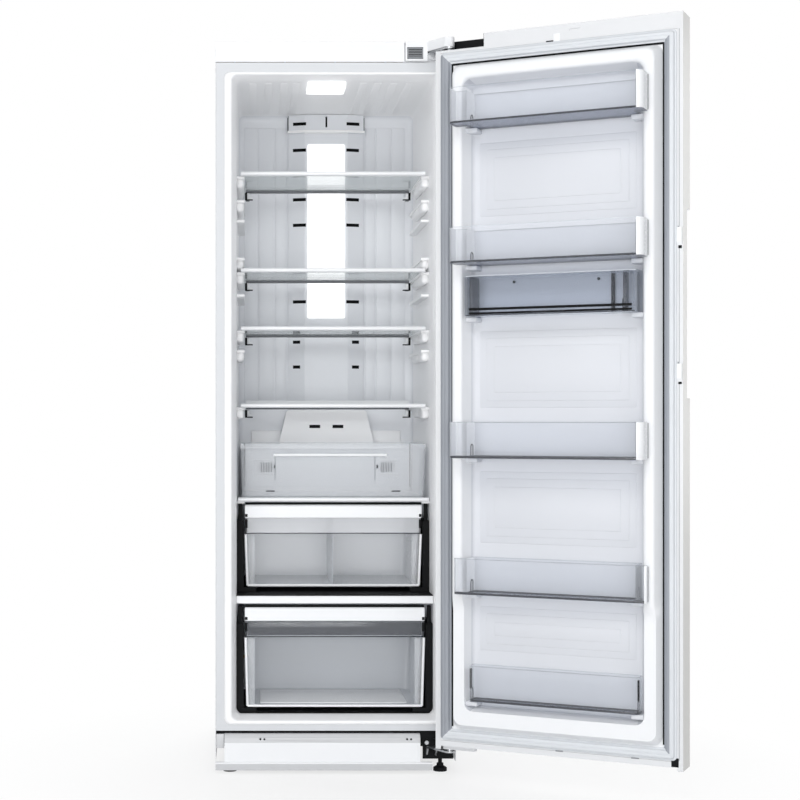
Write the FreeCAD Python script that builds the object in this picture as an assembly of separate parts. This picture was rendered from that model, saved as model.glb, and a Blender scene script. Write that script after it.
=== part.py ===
"""Tall single-door larder refrigerator with its door open.

Millimetres. X runs to the right, Y to the back, Z up. The origin is on the floor below the
middle of the cabinet's front plane. The door is drawn shut and then swung to DOOR_OPEN_DEG.
"""
import FreeCAD
import Part
import math
import os

V = FreeCAD.Vector

# Driving sizes of the cabinet
CAB_W = 595.0
CAB_TOP = 1809.0
CAB_D = 610.0
SHEET = 1.2
HALF = CAB_W / 2.0
INNER_HALF = HALF - SHEET

# Heights at the foot of the cabinet
KICK_LOW = 8.0
SIDE_FOOT_Z = KICK_LOW + 22.0
DOOR_LOW = SIDE_FOOT_Z + 46.0
FLOOR_SHEET_Z = DOOR_LOW + 9.2
FRAME_LOW = DOOR_LOW + 29.0
KICK_HIGH = FRAME_LOW - 7.0

# Front frame that the gasket seals on, and the liner's mouth and room behind it
FRAME_HIGH = CAB_TOP - 50.0
FRAME_T = 8.0
LAND_HALF = HALF - 22.0
LAND_LOW = FRAME_LOW + 16.0
LAND_HIGH = FRAME_HIGH - 24.0
MOUTH_HALF = LAND_HALF - 17.5
MOUTH_LOW = LAND_LOW + 9.0
MOUTH_HIGH = LAND_HIGH - 6.0
MOUTH_D = 45.0
ROOM_HALF = MOUTH_HALF - 12.0
ROOM_BACK_HALF = ROOM_HALF - 3.0
ROOM_LOW = MOUTH_LOW + 10.0
ROOM_HIGH = MOUTH_HIGH - 8.0
ROOM_BACK = CAB_D - 90.0
ROOM_R = 14.0
LINER_T = 2.5

# Compressor bay and the step it makes in the liner
BAY_FRONT = CAB_D - 210.0
BAY_BACK = CAB_D - SHEET - 2.5
BAY_FLOOR = 24.0
BAY_ROOF = BAY_FLOOR + 172.0
STEP_FRONT_LOW = BAY_FRONT - 50.0
STEP_FRONT_HIGH = BAY_FRONT - 30.0
STEP_TOP = BAY_ROOF + 46.0

# Top fascia and kickplate
FASCIA_D = 62.0
FASCIA_T = 3.0
FASCIA_END = HALF - 127.5
KICK_RIGHT = HALF - 88.5
KICK_LIP_RIGHT = HALF - 58.5
KICK_T = 2.5

# Feet and rollers
FOOT_X = HALF - 35.5
FOOT_Y = 34.0
FOOT_R = 17.0
STUD_R = 5.0
ROLLER_X = HALF - 47.5
ROLLER_Y = CAB_D - 50.0
ROLLER_R = 10.0
ROLLER_W = 18.0
AXLE_R = 3.0
RUN_GAP = 0.05
SEAT_GAP = 0.3

# Hinges: the door's axis, the arms and their screws
AXIS_X = HALF - 22.0
AXIS_Y = -50.0
PIN_R = 5.0
ARM_T = 4.0
UPPER_ARM_Z = CAB_TOP - 29.0
LOWER_ARM_Z = DOOR_LOW - 14.0
UPPER_SCREWS = [(AXIS_X - 43.5, CAB_TOP - 39.0), (AXIS_X - 25.5, CAB_TOP - 14.0),
                (AXIS_X + 4.5, CAB_TOP - 39.0)]
LOWER_SCREWS = [(AXIS_X - 49.5, FLOOR_SHEET_Z - 11.0), (AXIS_X - 19.5, FLOOR_SHEET_Z - 9.0),
                (AXIS_X + 8.5, FLOOR_SHEET_Z - 11.0)]

# Door switch beside the upper hinge
SWITCH_LEFT = FASCIA_END + 4.0
SWITCH_RIGHT = SWITCH_LEFT + 44.0
SWITCH_LOW = FRAME_HIGH + 4.0
SWITCH_HIGH = CAB_TOP - 12.0

# Drawers, from the floor of the room up
RAIL_LOW = ROOM_LOW + 275.0
RAIL_HIGH = RAIL_LOW + 19.0
COVER_TOP = RAIL_HIGH + 243.0
COVER_FRONT = 100.0
COVER_HALF = ROOM_HALF - 4.0
CHILLER_LOW = COVER_TOP + SEAT_GAP
CHILLER_HIGH = COVER_TOP + 136.0
CHILLER_HALF = ROOM_HALF - 10.0
CRISPER_1 = {"front": COVER_FRONT + 18.0, "low": RAIL_HIGH + 13.0, "rim": COVER_TOP - 52.0,
             "back": ROOM_BACK - 70.0, "sill": 46.0, "bed": RAIL_HIGH}
CRISPER_2 = {"front": MOUTH_D - 1.0, "low": ROOM_LOW + 13.0, "rim": RAIL_LOW - 43.5,
             "back": STEP_FRONT_LOW - 12.0, "sill": MOUTH_D + 2.0, "bed": ROOM_LOW}
HANDLE_H = 33.5
LIP_H = 41.0
BOX_WALL = 2.5
CRISPER_HALF = ROOM_HALF - 22.0
RUNNER_IN = CRISPER_HALF - 28.0

# Shelves and ledges: shares of the height between the crisper cover and the ceiling
SHELF_SPAN = ROOM_HIGH - COVER_TOP
SHELF_SHARES = [0.795, 0.5594, 0.4172, 0.2284]
SPARE_SHARES = [0.7286, 0.6805, 0.5871, 0.4976, 0.3609]
SHELF_TOPS = [COVER_TOP + share * SHELF_SPAN for share in SHELF_SHARES]
SPARE_LEDGES = [COVER_TOP + share * SHELF_SPAN for share in SPARE_SHARES]
SHELF_FRONT = COVER_FRONT + 18.0
SHELF_BACK = ROOM_BACK - 78.0
SHELF_HALF = ROOM_HALF - 11.0
GLASS_T = 4.0
TRIM_H = 10.0
LEDGE_IN = ROOM_HALF - 20.0

# Air duct, lamps, fan
DUCT_HALF = 104.0
DUCT_FLAT = 60.0
DUCT_FRONT = ROOM_BACK - 20.0
HEAD_LOW = ROOM_HIGH - 45.0
WIDE_SLOTS = [COVER_TOP + share * SHELF_SPAN for share in (0.9076, 0.8391, 0.7759, 0.7079, 0.5814, 0.5038)]
SHORT_SLOTS = [COVER_TOP + share * SHELF_SPAN for share in (0.3966, 0.3302)]
LAMP_LOW = COVER_TOP + 0.4597 * SHELF_SPAN
LAMP_HIGH = COVER_TOP + 0.9215 * SHELF_SPAN
COIL_COVER_FRONT = ROOM_BACK - 54.0
COIL_COVER_HALF = ROOM_BACK_HALF - 17.0
COIL_COVER_HIGH = COVER_TOP + 122.0
DOME_HIGH = COIL_COVER_HIGH + 103.0
FAN_Z = COVER_TOP - 3.0
FAN_Y = ROOM_BACK - 32.0
FAN_R = 55.0

# Door, drawn shut
DOOR_HIGH = CAB_TOP - 8.0
DOOR_FACE = -12.0
DOOR_SKIN = -82.0
DOOR_OPEN_DEG = 153.0
FLANGE_W = 14.0
GASKET_OUT = HALF - FLANGE_W
GASKET_LOW = FRAME_LOW - 5.0
GASKET_HIGH = FRAME_HIGH + 3.0
GASKET_W = 28.0
GASKET_GAP = 1.0
SLAB_BACK = DOOR_FACE - 20.0
LINER_LOW = DOOR_LOW + 22.0
LINER_HIGH = DOOR_HIGH - 39.0
CREST_HALF = ROOM_HALF - 6.0
CREST_LOW = ROOM_LOW + 6.0
CREST_HIGH = ROOM_HIGH - 4.0
FIELD_HALF = CREST_HALF - 34.0
FIELD_LOW = CREST_LOW + 42.0
FIELD_HIGH = CREST_HIGH - 40.0
RIM_CREST = 30.0
RIM_CREST_LOW = 15.0
RIM_STEP_Z = RAIL_HIGH + 6.0
RECESS_FLOOR = -25.0
POCKET_FLOOR = CAB_TOP - 40.0
POCKET_LEFT = AXIS_X - 100.5
CAP_DEPTH = 59.0
GRIP_LOW = DOOR_LOW + 0.49 * (DOOR_HIGH - DOOR_LOW)
GRIP_HIGH = DOOR_LOW + 0.7443 * (DOOR_HIGH - DOOR_LOW)
GRIP_W = 25.0
GRIP_WALL = 2.5

# Door baskets: floor height, front reach and whether the front is wider than the rear
BASKET_BASE = RAIL_HIGH + 26.0
BASKET_SPAN = FIELD_HIGH - BASKET_BASE
BASKETS = [(BASKET_BASE + 0.9137 * BASKET_SPAN, 90.0, True), (BASKET_BASE + 0.6434 * BASKET_SPAN, 90.0, True),
           (BASKET_BASE + 0.2662 * BASKET_SPAN, 90.0, True), (BASKET_BASE, 50.0, True),
           (FIELD_LOW + 14.0, 17.0, False)]
BASKET_H = 85.0
BASKET_T = 2.2
BASKET_REAR = RECESS_FLOOR + 2.5
BASKET_REAR_HALF = FIELD_HALF - 3.0
BASKET_FRONT_HALF = CREST_HALF - 11.0
DAIRY_LOW = BASKET_BASE + 0.5423 * BASKET_SPAN
DAIRY_HIGH = DAIRY_LOW + 0.0789 * BASKET_SPAN
DAIRY_FRONT = 45.0
DAIRY_HALF = FIELD_HALF - 3.0
FLAP_Y = DAIRY_FRONT - 4.0
FLAP_Z = DAIRY_HIGH - 9.0


def slab(x0, x1, y0, y1, z0, z1):
    return Part.makeBox(x1 - x0, y1 - y0, z1 - z0, V(x0, y0, z0))


def pair(x0, x1, y0, y1, z0, z1):
    """The same block on the right and, mirrored, on the left."""
    return [slab(x0, x1, y0, y1, z0, z1), slab(-x1, -x0, y0, y1, z0, z1)]


def rod(x, y, z, axis, r, length):
    return Part.makeCylinder(r, length, V(x, y, z), axis)


def round_corners(points, radii):
    """A closed wire through flat points, each corner rounded by its radius (0 keeps it sharp)."""
    edges = []
    ends = []
    count = len(points)
    for i in range(count):
        p = points[i]
        r = radii[i]
        to_last = points[i - 1] - p
        to_next = points[(i + 1) % count] - p
        if r <= 0:
            ends.append((p, p, None))
            continue
        to_last.normalize()
        to_next.normalize()
        half = to_last.getAngle(to_next) / 2.0
        along = r / math.tan(half)
        middle = to_last + to_next
        middle.normalize()
        centre = p + middle * (r / math.sin(half))
        ends.append((p + to_last * along, p + to_next * along, centre - middle * r))
    for i in range(count):
        first, second, bulge = ends[i]
        if bulge is not None:
            edges.append(Part.Arc(first, bulge, second).toShape())
        start = second
        stop = ends[(i + 1) % count][0]
        if (stop - start).Length > 1e-6:
            edges.append(Part.makeLine(start, stop))
    return Part.Wire(edges)


def front_wire(y, half, low, high, r):
    points = [V(-half, y, low), V(half, y, low), V(half, y, high), V(-half, y, high)]
    return round_corners(points, [r] * 4)


def plan_wire(z, half, y0, y1, r):
    points = [V(-half, y0, z), V(half, y0, z), V(half, y1, z), V(-half, y1, z)]
    return round_corners(points, [r] * 4)


def loft(wires):
    return Part.makeLoft(wires, True, True)


def prism(points, direction, radii=None):
    wire = round_corners(points, radii or [0] * len(points))
    return Part.Face(wire).extrude(direction)


def plan_prism(points, z0, z1, radii=None):
    return prism([V(x, y, z0) for x, y in points], V(0, 0, z1 - z0), radii)


def side_prism(points, x0, x1, radii=None):
    return prism([V(x0, y, z) for y, z in points], V(x1 - x0, 0, 0), radii)


def front_prism(points, y0, y1, radii=None):
    return prism([V(x, y0, z) for x, z in points], V(0, y1 - y0, 0), radii)


def fuse(shapes):
    out = shapes[0]
    if len(shapes) > 1:
        out = out.multiFuse(shapes[1:])
    return out.removeSplitter()


def cut(shape, tools):
    for tool in tools:
        shape = shape.cut(tool)
    return shape


def mirrored(shape):
    return shape.mirror(V(0, 0, 0), V(1, 0, 0))


# Solids that shape several pieces
def room(extra):
    """The liner's inside (extra 0) or outside (extra LINER_T), without its front flange."""
    back = ROOM_BACK + extra
    low = ROOM_LOW - extra
    high = ROOM_HIGH + extra
    r = ROOM_R + extra
    body = loft([front_wire(0, MOUTH_HALF + extra, MOUTH_LOW - extra, MOUTH_HIGH + extra, r),
                 front_wire(MOUTH_D, ROOM_HALF + extra, low, high, r),
                 front_wire(back, ROOM_BACK_HALF + extra, low, high, r)])
    step = side_prism([(STEP_FRONT_LOW + extra, ROOM_LOW - 20), (STEP_FRONT_HIGH + extra, STEP_TOP - extra),
                       (back + 20, STEP_TOP - extra), (back + 20, ROOM_LOW - 20)], -HALF, HALF)
    return body.cut(step)


room_inside = room(0.0)
room_outside = room(LINER_T)


def cabinet_panels():
    sides = pair(INNER_HALF, HALF, 0, CAB_D, SIDE_FOOT_Z, CAB_TOP)
    top = slab(-INNER_HALF, INNER_HALF, FASCIA_D, CAB_D, CAB_TOP - SHEET, CAB_TOP)
    return Part.makeCompound(sides + [top])


def rear_panel():
    return slab(-INNER_HALF, INNER_HALF, CAB_D - SHEET, CAB_D, BAY_ROOF, CAB_TOP - SHEET)


def front_frame():
    outer = slab(-INNER_HALF, INNER_HALF, 0, FRAME_T, FRAME_LOW, FRAME_HIGH)
    return outer.cut(loft([front_wire(-1, LAND_HALF, LAND_LOW, LAND_HIGH, ROOM_R),
                           front_wire(FRAME_T + 1, LAND_HALF, LAND_LOW, LAND_HIGH, ROOM_R)]))


def inner_liner():
    flange = loft([front_wire(0, LAND_HALF, LAND_LOW, LAND_HIGH, ROOM_R),
                   front_wire(LINER_T, LAND_HALF, LAND_LOW, LAND_HIGH, ROOM_R)])
    return fuse([flange, room_outside]).cut(room_inside)


def cabinet_insulation():
    back = CAB_D - SHEET
    low = slab(-INNER_HALF, INNER_HALF, FRAME_T, back, FLOOR_SHEET_Z, FRAME_HIGH)
    high = slab(-INNER_HALF, INNER_HALF, FASCIA_D, back, FRAME_HIGH, CAB_TOP - SHEET)
    collar = loft([front_wire(LINER_T, LAND_HALF, LAND_LOW, LAND_HIGH, ROOM_R),
                   front_wire(FRAME_T, LAND_HALF, LAND_LOW, LAND_HIGH, ROOM_R)])
    bay = slab(-HALF, HALF, BAY_FRONT, CAB_D, 0, BAY_ROOF)
    return cut(fuse([low, high, collar]), [room_outside, bay, base_upstand()])


def shelf_ledges():
    tops = [top - 8.0 - SEAT_GAP for top in SHELF_TOPS] + SPARE_LEDGES + [COVER_TOP - 8.0]
    ledges = []
    for top in tops:
        front = SHELF_FRONT + 21 if top > COVER_TOP else COVER_FRONT + 20
        bar = side_prism([(front, top), (SHELF_BACK + 4, top), (SHELF_BACK + 4, top - 8), (front, top - 8)],
                         LEDGE_IN, ROOM_HALF + 2, [3.9, 0, 0, 3.9])
        for side in (bar, mirrored(bar)):
            ledges.append(side.common(room_inside).Solids[0])
    return Part.makeCompound(ledges)


def top_fascia():
    front = slab(-HALF, FASCIA_END, -2.5, 0, FRAME_HIGH + 0.5, CAB_TOP)
    top = slab(-INNER_HALF, INNER_HALF, 0, FASCIA_D, CAB_TOP - FASCIA_T, CAB_TOP)
    end = slab(FASCIA_END - 3, FASCIA_END, 0, 8, FRAME_HIGH + 0.5, CAB_TOP - FASCIA_T)
    land = slab(FASCIA_END, INNER_HALF, 4, 10, FRAME_HIGH + 0.5, CAB_TOP - FASCIA_T)
    ribs = []
    for share in (-0.84, -0.42, 0.0, 0.42):
        x = share * HALF
        ribs.append(slab(x - 1.5, x + 1.5, 0, 40, FRAME_HIGH + 0.5, CAB_TOP - FASCIA_T))
    window = slab(SWITCH_LEFT, SWITCH_RIGHT, -1, 30, SWITCH_LOW, SWITCH_HIGH)
    holes = [rod(x, 3, z, V(0, 1, 0), 3.0, 10) for x, z in UPPER_SCREWS]
    return cut(fuse([front, top, end, land] + ribs), [window] + holes)


def base_upstand():
    """The base's front edge, which closes the foam off behind the gap over the kickplate."""
    return slab(-INNER_HALF, INNER_HALF, FRAME_T, FRAME_T + 1.5, FLOOR_SHEET_Z - 1.5, FRAME_LOW)


def base_frame():
    floor = slab(-INNER_HALF, INNER_HALF, FRAME_T, BAY_FRONT, FLOOR_SHEET_Z - 1.5, FLOOR_SHEET_Z)
    sill = slab(-INNER_HALF, INNER_HALF, FRAME_T + 6, 54, FLOOR_SHEET_Z - 21, FLOOR_SHEET_Z - 1.5)
    body = fuse([floor, sill, base_upstand()])
    holes = [rod(x, FOOT_Y, 20, V(0, 0, 1), STUD_R + RUN_GAP, FLOOR_SHEET_Z) for x in (-FOOT_X, FOOT_X)]
    holes += [rod(x, FRAME_T + 5, z, V(0, 1, 0), 3.0, 12) for x, z in LOWER_SCREWS]
    return cut(body, holes)


def machine_bay():
    back = BAY_BACK
    wall = slab(-INNER_HALF, INNER_HALF, BAY_FRONT, BAY_FRONT + 1.5, BAY_FLOOR - 2, BAY_ROOF)
    roof = slab(-INNER_HALF, INNER_HALF, BAY_FRONT, back, BAY_ROOF - 1.5, BAY_ROOF)
    cheeks = pair(INNER_HALF - 1.5, INNER_HALF, BAY_FRONT, back, BAY_FLOOR - 2, BAY_ROOF)
    tray = slab(-INNER_HALF, INNER_HALF, BAY_FRONT, back, BAY_FLOOR - 2, BAY_FLOOR)
    parts = [wall, roof, tray] + cheeks
    for x in (-ROLLER_X, ROLLER_X):
        for side in (-1, 1):
            plate_x = x + side * (ROLLER_W / 2 + 1.5)
            parts.append(slab(plate_x - 1, plate_x + 1, ROLLER_Y - 12, ROLLER_Y + 12,
                              ROLLER_R - 6, BAY_FLOOR - 2))
        parts.append(rod(x - ROLLER_W / 2 - 1, ROLLER_Y, ROLLER_R, V(1, 0, 0), AXLE_R, ROLLER_W + 2))
    return fuse(parts)


def machine_cover():
    back = CAB_D - SHEET
    plate = slab(-INNER_HALF + 2, INNER_HALF - 2, back - 2.5, back, BAY_FLOOR, BAY_ROOF)
    slots = []
    pitch = 2 * (INNER_HALF - 56) / 8
    for column in range(9):
        x = (column - 4) * pitch
        for row in range(5):
            z = BAY_FLOOR + 26 + row * 28
            slots.append(slab(x - 0.37 * pitch, x + 0.37 * pitch, back - 4, back + 1, z - 3, z + 3))
    return cut(plate, slots)


def kickplate():
    top = KICK_HIGH
    foot = SIDE_FOOT_Z
    low = KICK_LOW
    outer = [(7.5, top), (3, top - 2), (-3, top - 10), (-6, top - 22), (-6, foot)]
    inner = [(-6 + KICK_T, foot), (-6 + KICK_T, top - 22.5), (-0.7, top - 11.4), (4.3, top - 4.4),
             (7.5, top - 2.8)]
    face = side_prism(outer + inner, -LAND_HALF, KICK_RIGHT)
    lip = side_prism([(-6, foot), (-10, foot - 2), (-10, foot - 5), (-5, low), (10, low), (10, low + 2.5),
                      (-3, low + 2.5), (-7, foot - 5), (-7, foot - 2.5), (-4, foot)], -HALF, KICK_LIP_RIGHT)
    ribs = []
    for share in (-0.77, -0.27, 0.27, 0.67):
        x = share * HALF
        ribs.append(side_prism([(-5, foot + 2), (-5, top - 24), (-1.5, top - 16), (13, top - 16),
                                (13, foot + 2)], x - 1.2, x + 1.2))
    holes = []
    for share in (-0.61, 0.61):
        for dx in (-5, 5):
            holes.append(rod(share * HALF + dx, -10, top - 9, V(0, 1, -0.6), 2.6, 24))
    body = fuse([face, lip, slab(-LAND_HALF, KICK_RIGHT, -6, -3.5, foot - 2.5, foot + 2)] + ribs)
    return cut(body, holes)


def arm_plan(back_y, grow):
    """The plan of a cranked hinge plate from the cabinet to the pin, clear of the door as it swings."""
    x = AXIS_X
    y = AXIS_Y
    return [(x - 53.5 - grow, back_y), (x - 23.5 + grow, back_y), (x - 17.5 + grow, y + 25),
            (x + 11.5 + grow, y + 4), (x + 5.5 + grow, y - 11 - grow), (x - 9.5 - grow, y - 10 - grow)]


ARM_RADII = [0, 0, 4, 6, 8, 8]


def hinge_arm(z, back_y):
    arm = plan_prism(arm_plan(back_y, 0), z, z + ARM_T, ARM_RADII)
    return fuse([arm, rod(AXIS_X, AXIS_Y, z, V(0, 0, 1), 12.5, ARM_T)])


def upper_hinge():
    plate = slab(AXIS_X - 53.5, AXIS_X + 16.5, 0, 4, SWITCH_LOW, CAB_TOP - 6)
    arm = hinge_arm(UPPER_ARM_Z, 4)
    pin = rod(AXIS_X, AXIS_Y, UPPER_ARM_Z - 30, V(0, 0, 1), PIN_R, 34)
    holes = [rod(x, -1, z, V(0, 1, 0), 3.0, 8) for x, z in UPPER_SCREWS]
    return cut(fuse([plate, arm, pin]), holes)


def upper_hinge_cover():
    """A white hood over the upper hinge, open below, with a window for the door switch."""
    high = CAB_TOP - 1.0
    left = FASCIA_END + 2.0
    right = AXIS_X - 13.5
    over = UPPER_ARM_Z + ARM_T + 0.4
    roof = high - 2.5
    outer = fuse([slab(left, right, -8, 0, SWITCH_LOW - 2, high),
                  plan_prism(arm_plan(0, 2), over, high, ARM_RADII)])
    inner = fuse([slab(left + 2.5, right - 2.5, -5.5, 3, SWITCH_LOW - 3, roof),
                  plan_prism(arm_plan(3, -0.5), over - 1.4, roof, ARM_RADII)])
    window = slab(SWITCH_LEFT + 2.4, SWITCH_RIGHT - 2.4, -10, 2, SWITCH_LOW + 2.4, SWITCH_HIGH - 2.4)
    arm_way = plan_prism(arm_plan(3, 3), SWITCH_LOW - 9, over)
    return cut(outer, [inner, window, arm_way])


def lower_hinge():
    front = FRAME_T + 2
    plate = slab(AXIS_X - 59.5, AXIS_X + 16.5, front, front + 4, LOWER_ARM_Z - 28, FLOOR_SHEET_Z - 2.2)
    arm = hinge_arm(LOWER_ARM_Z, front + 4)
    pin = rod(AXIS_X, AXIS_Y, LOWER_ARM_Z, V(0, 0, 1), PIN_R, 44)
    gussets = []
    for x in (AXIS_X - 51.5, AXIS_X - 29.5):
        gussets.append(side_prism([(front + 2, LOWER_ARM_Z + 2), (front + 2, LOWER_ARM_Z - 22),
                                   (-20, LOWER_ARM_Z + 2)], x, x + 4))
    holes = [rod(x, FRAME_T, z, V(0, 1, 0), 3.0, 8) for x, z in LOWER_SCREWS]
    return cut(fuse([plate, arm, pin] + gussets), holes)


def hinge_screws():
    screws = []
    for x, z in UPPER_SCREWS:
        screws.append(fuse([rod(x, -3, z, V(0, 1, 0), 5.0, 3), rod(x, 0, z, V(0, 1, 0), 2.9, 9)]))
    for x, z in LOWER_SCREWS:
        screws.append(fuse([rod(x, FRAME_T - 1, z, V(0, 1, 0), 5.0, 3),
                            rod(x, FRAME_T + 2, z, V(0, 1, 0), 2.9, 12)]))
    return Part.makeCompound(screws)


def levelling_foot(x):
    disc = rod(x, FOOT_Y, 0, V(0, 0, 1), FOOT_R, 8)
    cone = Part.makeCone(FOOT_R, 9, 5, V(x, FOOT_Y, 8))
    nut = rod(x, FOOT_Y, 13, V(0, 0, 1), 8.5, 6)
    stud = rod(x, FOOT_Y, 13, V(0, 0, 1), STUD_R, FLOOR_SHEET_Z - 17)
    return fuse([disc, cone, nut, stud])


def rear_roller(x):
    wheel = rod(x - ROLLER_W / 2 + 0.3, ROLLER_Y, ROLLER_R, V(1, 0, 0), ROLLER_R, ROLLER_W - 0.6)
    return wheel.cut(rod(x - ROLLER_W, ROLLER_Y, ROLLER_R, V(1, 0, 0), AXLE_R + RUN_GAP, 2 * ROLLER_W))


def compressor():
    x = 0.37 * HALF
    y = BAY_BACK - 106.3
    z = BAY_FLOOR
    shell = fuse([rod(x, y, z + 36, V(0, 0, 1), 74, 66), Part.makeCone(74, 48, 30, V(x, y, z + 102)),
                  Part.makeCone(52, 74, 22, V(x, y, z + 14))])
    plate = slab(x - 105, x + 105, y - 55, y + 55, z + 11, z + 15)
    mounts = [rod(x + dx, y + dy, z, V(0, 0, 1), 12, 11) for dx in (-90, 90) for dy in (-40, 40)]
    terminals = slab(x - 104, x - 66, y - 28, y + 28, z + 40, z + 92)
    pipe = rod(x, y, z + 120, V(0, 0, 1), 4, 38)
    bend = rod(x, y, z + 154, V(-1, 0, 0), 4, 160)
    return fuse([shell, plate, terminals, pipe, bend] + mounts)


def evaporator():
    half = ROOM_BACK_HALF - 63
    front = ROOM_BACK - 44
    low = STEP_TOP + 42
    high = low + 200
    block = slab(-half, half, front, ROOM_BACK - SEAT_GAP, low, high)
    grooves = []
    pitch = 14.0
    count = int((2 * half - 38) / pitch)
    for i in range(count):
        x = (i - count / 2.0) * pitch
        grooves.append(slab(x, x + 10, front - 6, front + 10, low - 10, high + 10))
    bends = []
    for i in range(4):
        z = low + 25 + i * 48
        bend = fuse([rod(half, front + 20, z, V(1, 0, 0), 5, 18),
                     slab(half + 10, half + 18, front + 15, front + 25, z - 5, z + 24)])
        bends += [bend, mirrored(bend)]
    return fuse([cut(block, grooves)] + bends)


def fan_motor():
    body = rod(0, FAN_Y + 12, FAN_Z, V(0, 1, 0), 22, 20)
    shaft = rod(0, FAN_Y - 10, FAN_Z, V(0, 1, 0), AXLE_R, 24)
    front = FAN_Y + 24
    back = ROOM_BACK - 0.1
    arms = [slab(-80, 80, front, back, FAN_Z - 8, FAN_Z + 8),
            slab(-8, 8, front, back, FAN_Z - 80, FAN_Z + 80)]
    return fuse([body, shaft] + arms)


def fan_rotor():
    hub = rod(0, FAN_Y - 10, FAN_Z, V(0, 1, 0), 19, 20)
    blades = []
    for i in range(5):
        blade = slab(14, FAN_R, -1.2, 1.2, -13, 13)
        blade.rotate(V(0, 0, 0), V(1, 0, 0), 58)
        blade.translate(V(0, FAN_Y, 0))
        blade.rotate(V(0, 0, 0), V(0, 1, 0), i * 72.0)
        blade.translate(V(0, 0, FAN_Z))
        blades.append(blade)
    band = slab(-FAN_R, FAN_R, FAN_Y - 9, FAN_Y + 9, FAN_Z - FAN_R, FAN_Z + FAN_R)
    rotor = fuse([hub] + [blade.common(band) for blade in blades])
    return rotor.cut(rod(0, FAN_Y - 18, FAN_Z, V(0, 1, 0), AXLE_R + RUN_GAP, 40))


def bowed(grow, front, back, z0, z1):
    """A duct shell's plan: flat in the middle, falling back to both edges."""
    half = DUCT_HALF - grow
    flat = DUCT_FLAT - grow * 0.4
    shoulder = front + 13 + grow * 0.2
    return plan_prism([(-half, back), (-half, shoulder), (-flat, front + grow), (flat, front + grow),
                       (half, shoulder), (half, back)], z0, z1)


def air_duct_cover():
    wall = 2.5
    back = ROOM_BACK
    high = ROOM_HIGH - 1
    low = DOME_HIGH - 18
    coil_top = COIL_COVER_HIGH
    column = bowed(0, DUCT_FRONT, back, low, high)
    column_in = bowed(wall, DUCT_FRONT, back + 1, low - 20, high - 3)
    head = bowed(0, DUCT_FRONT - 14, back, HEAD_LOW, high)
    head_in = bowed(wall, DUCT_FRONT - 14, back + 1, HEAD_LOW + 3, high - 3)
    lip = bowed(-3, DUCT_FRONT - 17, DUCT_FRONT + 8, HEAD_LOW - 6, HEAD_LOW + 1)
    dome = front_prism([(-110, DOME_HIGH), (110, DOME_HIGH), (134, coil_top - 3), (-134, coil_top - 3)],
                       DUCT_FRONT - 16, back, [12, 12, 0, 0])
    dome_in = front_prism([(-107, DOME_HIGH - 4), (107, DOME_HIGH - 4), (131, coil_top - 10),
                           (-131, coil_top - 10)], DUCT_FRONT - 13.5, back + 1)
    box = slab(-COIL_COVER_HALF, COIL_COVER_HALF, COIL_COVER_FRONT, back, STEP_TOP + 2, coil_top)
    box_in = slab(-COIL_COVER_HALF + wall, COIL_COVER_HALF - wall, COIL_COVER_FRONT + wall, back + 1,
                  STEP_TOP, coil_top - wall)
    body = cut(fuse([column, head, lip, dome, box]), [column_in, head_in, dome_in, box_in])
    ways = [(56, 92, z) for z in WIDE_SLOTS + [HEAD_LOW + 19]] + [(72, 92, z) for z in SHORT_SLOTS]
    slots = []
    for x0, x1, z in ways:
        slots += pair(x0, x1, DUCT_FRONT - 30, DUCT_FRONT + 18, z - 4.5, z + 4.5)
    slots += pair(17, 47, DUCT_FRONT - 30, DUCT_FRONT - 5, DOME_HIGH - 50, DOME_HIGH - 41)
    slots.append(slab(-2.5, 2.5, DUCT_FRONT - 30, DUCT_FRONT - 5, HEAD_LOW + 9, HEAD_LOW + 40))
    for i in range(5):
        x = COIL_COVER_HALF - 74 + i * 8
        slots += pair(x, x + 4, COIL_COVER_FRONT - 5, COIL_COVER_FRONT + 8, coil_top - 67, coil_top - 31)
    return cut(body, slots)


def lamp_lenses():
    rear = front_prism([(-52, LAMP_LOW), (52, LAMP_LOW), (52, LAMP_HIGH), (-52, LAMP_HIGH)],
                       DUCT_FRONT - 4, DUCT_FRONT, [5] * 4)
    ceiling = plan_prism([(-67, 48), (29, 48), (29, 170), (-67, 170)], ROOM_HIGH - 8, ROOM_HIGH, [6] * 4)
    return Part.makeCompound([rear, ceiling])


def switch_housing():
    outer = slab(SWITCH_LEFT, SWITCH_RIGHT, 4, 26, SWITCH_LOW, SWITCH_HIGH)
    return outer.cut(slab(SWITCH_LEFT + 2.7, SWITCH_RIGHT - 2.7, 3, 23, SWITCH_LOW + 2.7, SWITCH_HIGH - 2.7))


def switch_plunger():
    low = SWITCH_LOW + 3
    high = SWITCH_HIGH - 3
    return side_prism([(-11, low + 4), (-11, high - 4), (-6, high), (13, high), (13, low), (-6, low)],
                      SWITCH_LEFT + 3, SWITCH_RIGHT - 3)


def glass_pane(top, front, back, half):
    return slab(-half, half, front + 8, back - 8, top - 8, top - 8 + GLASS_T)


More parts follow.
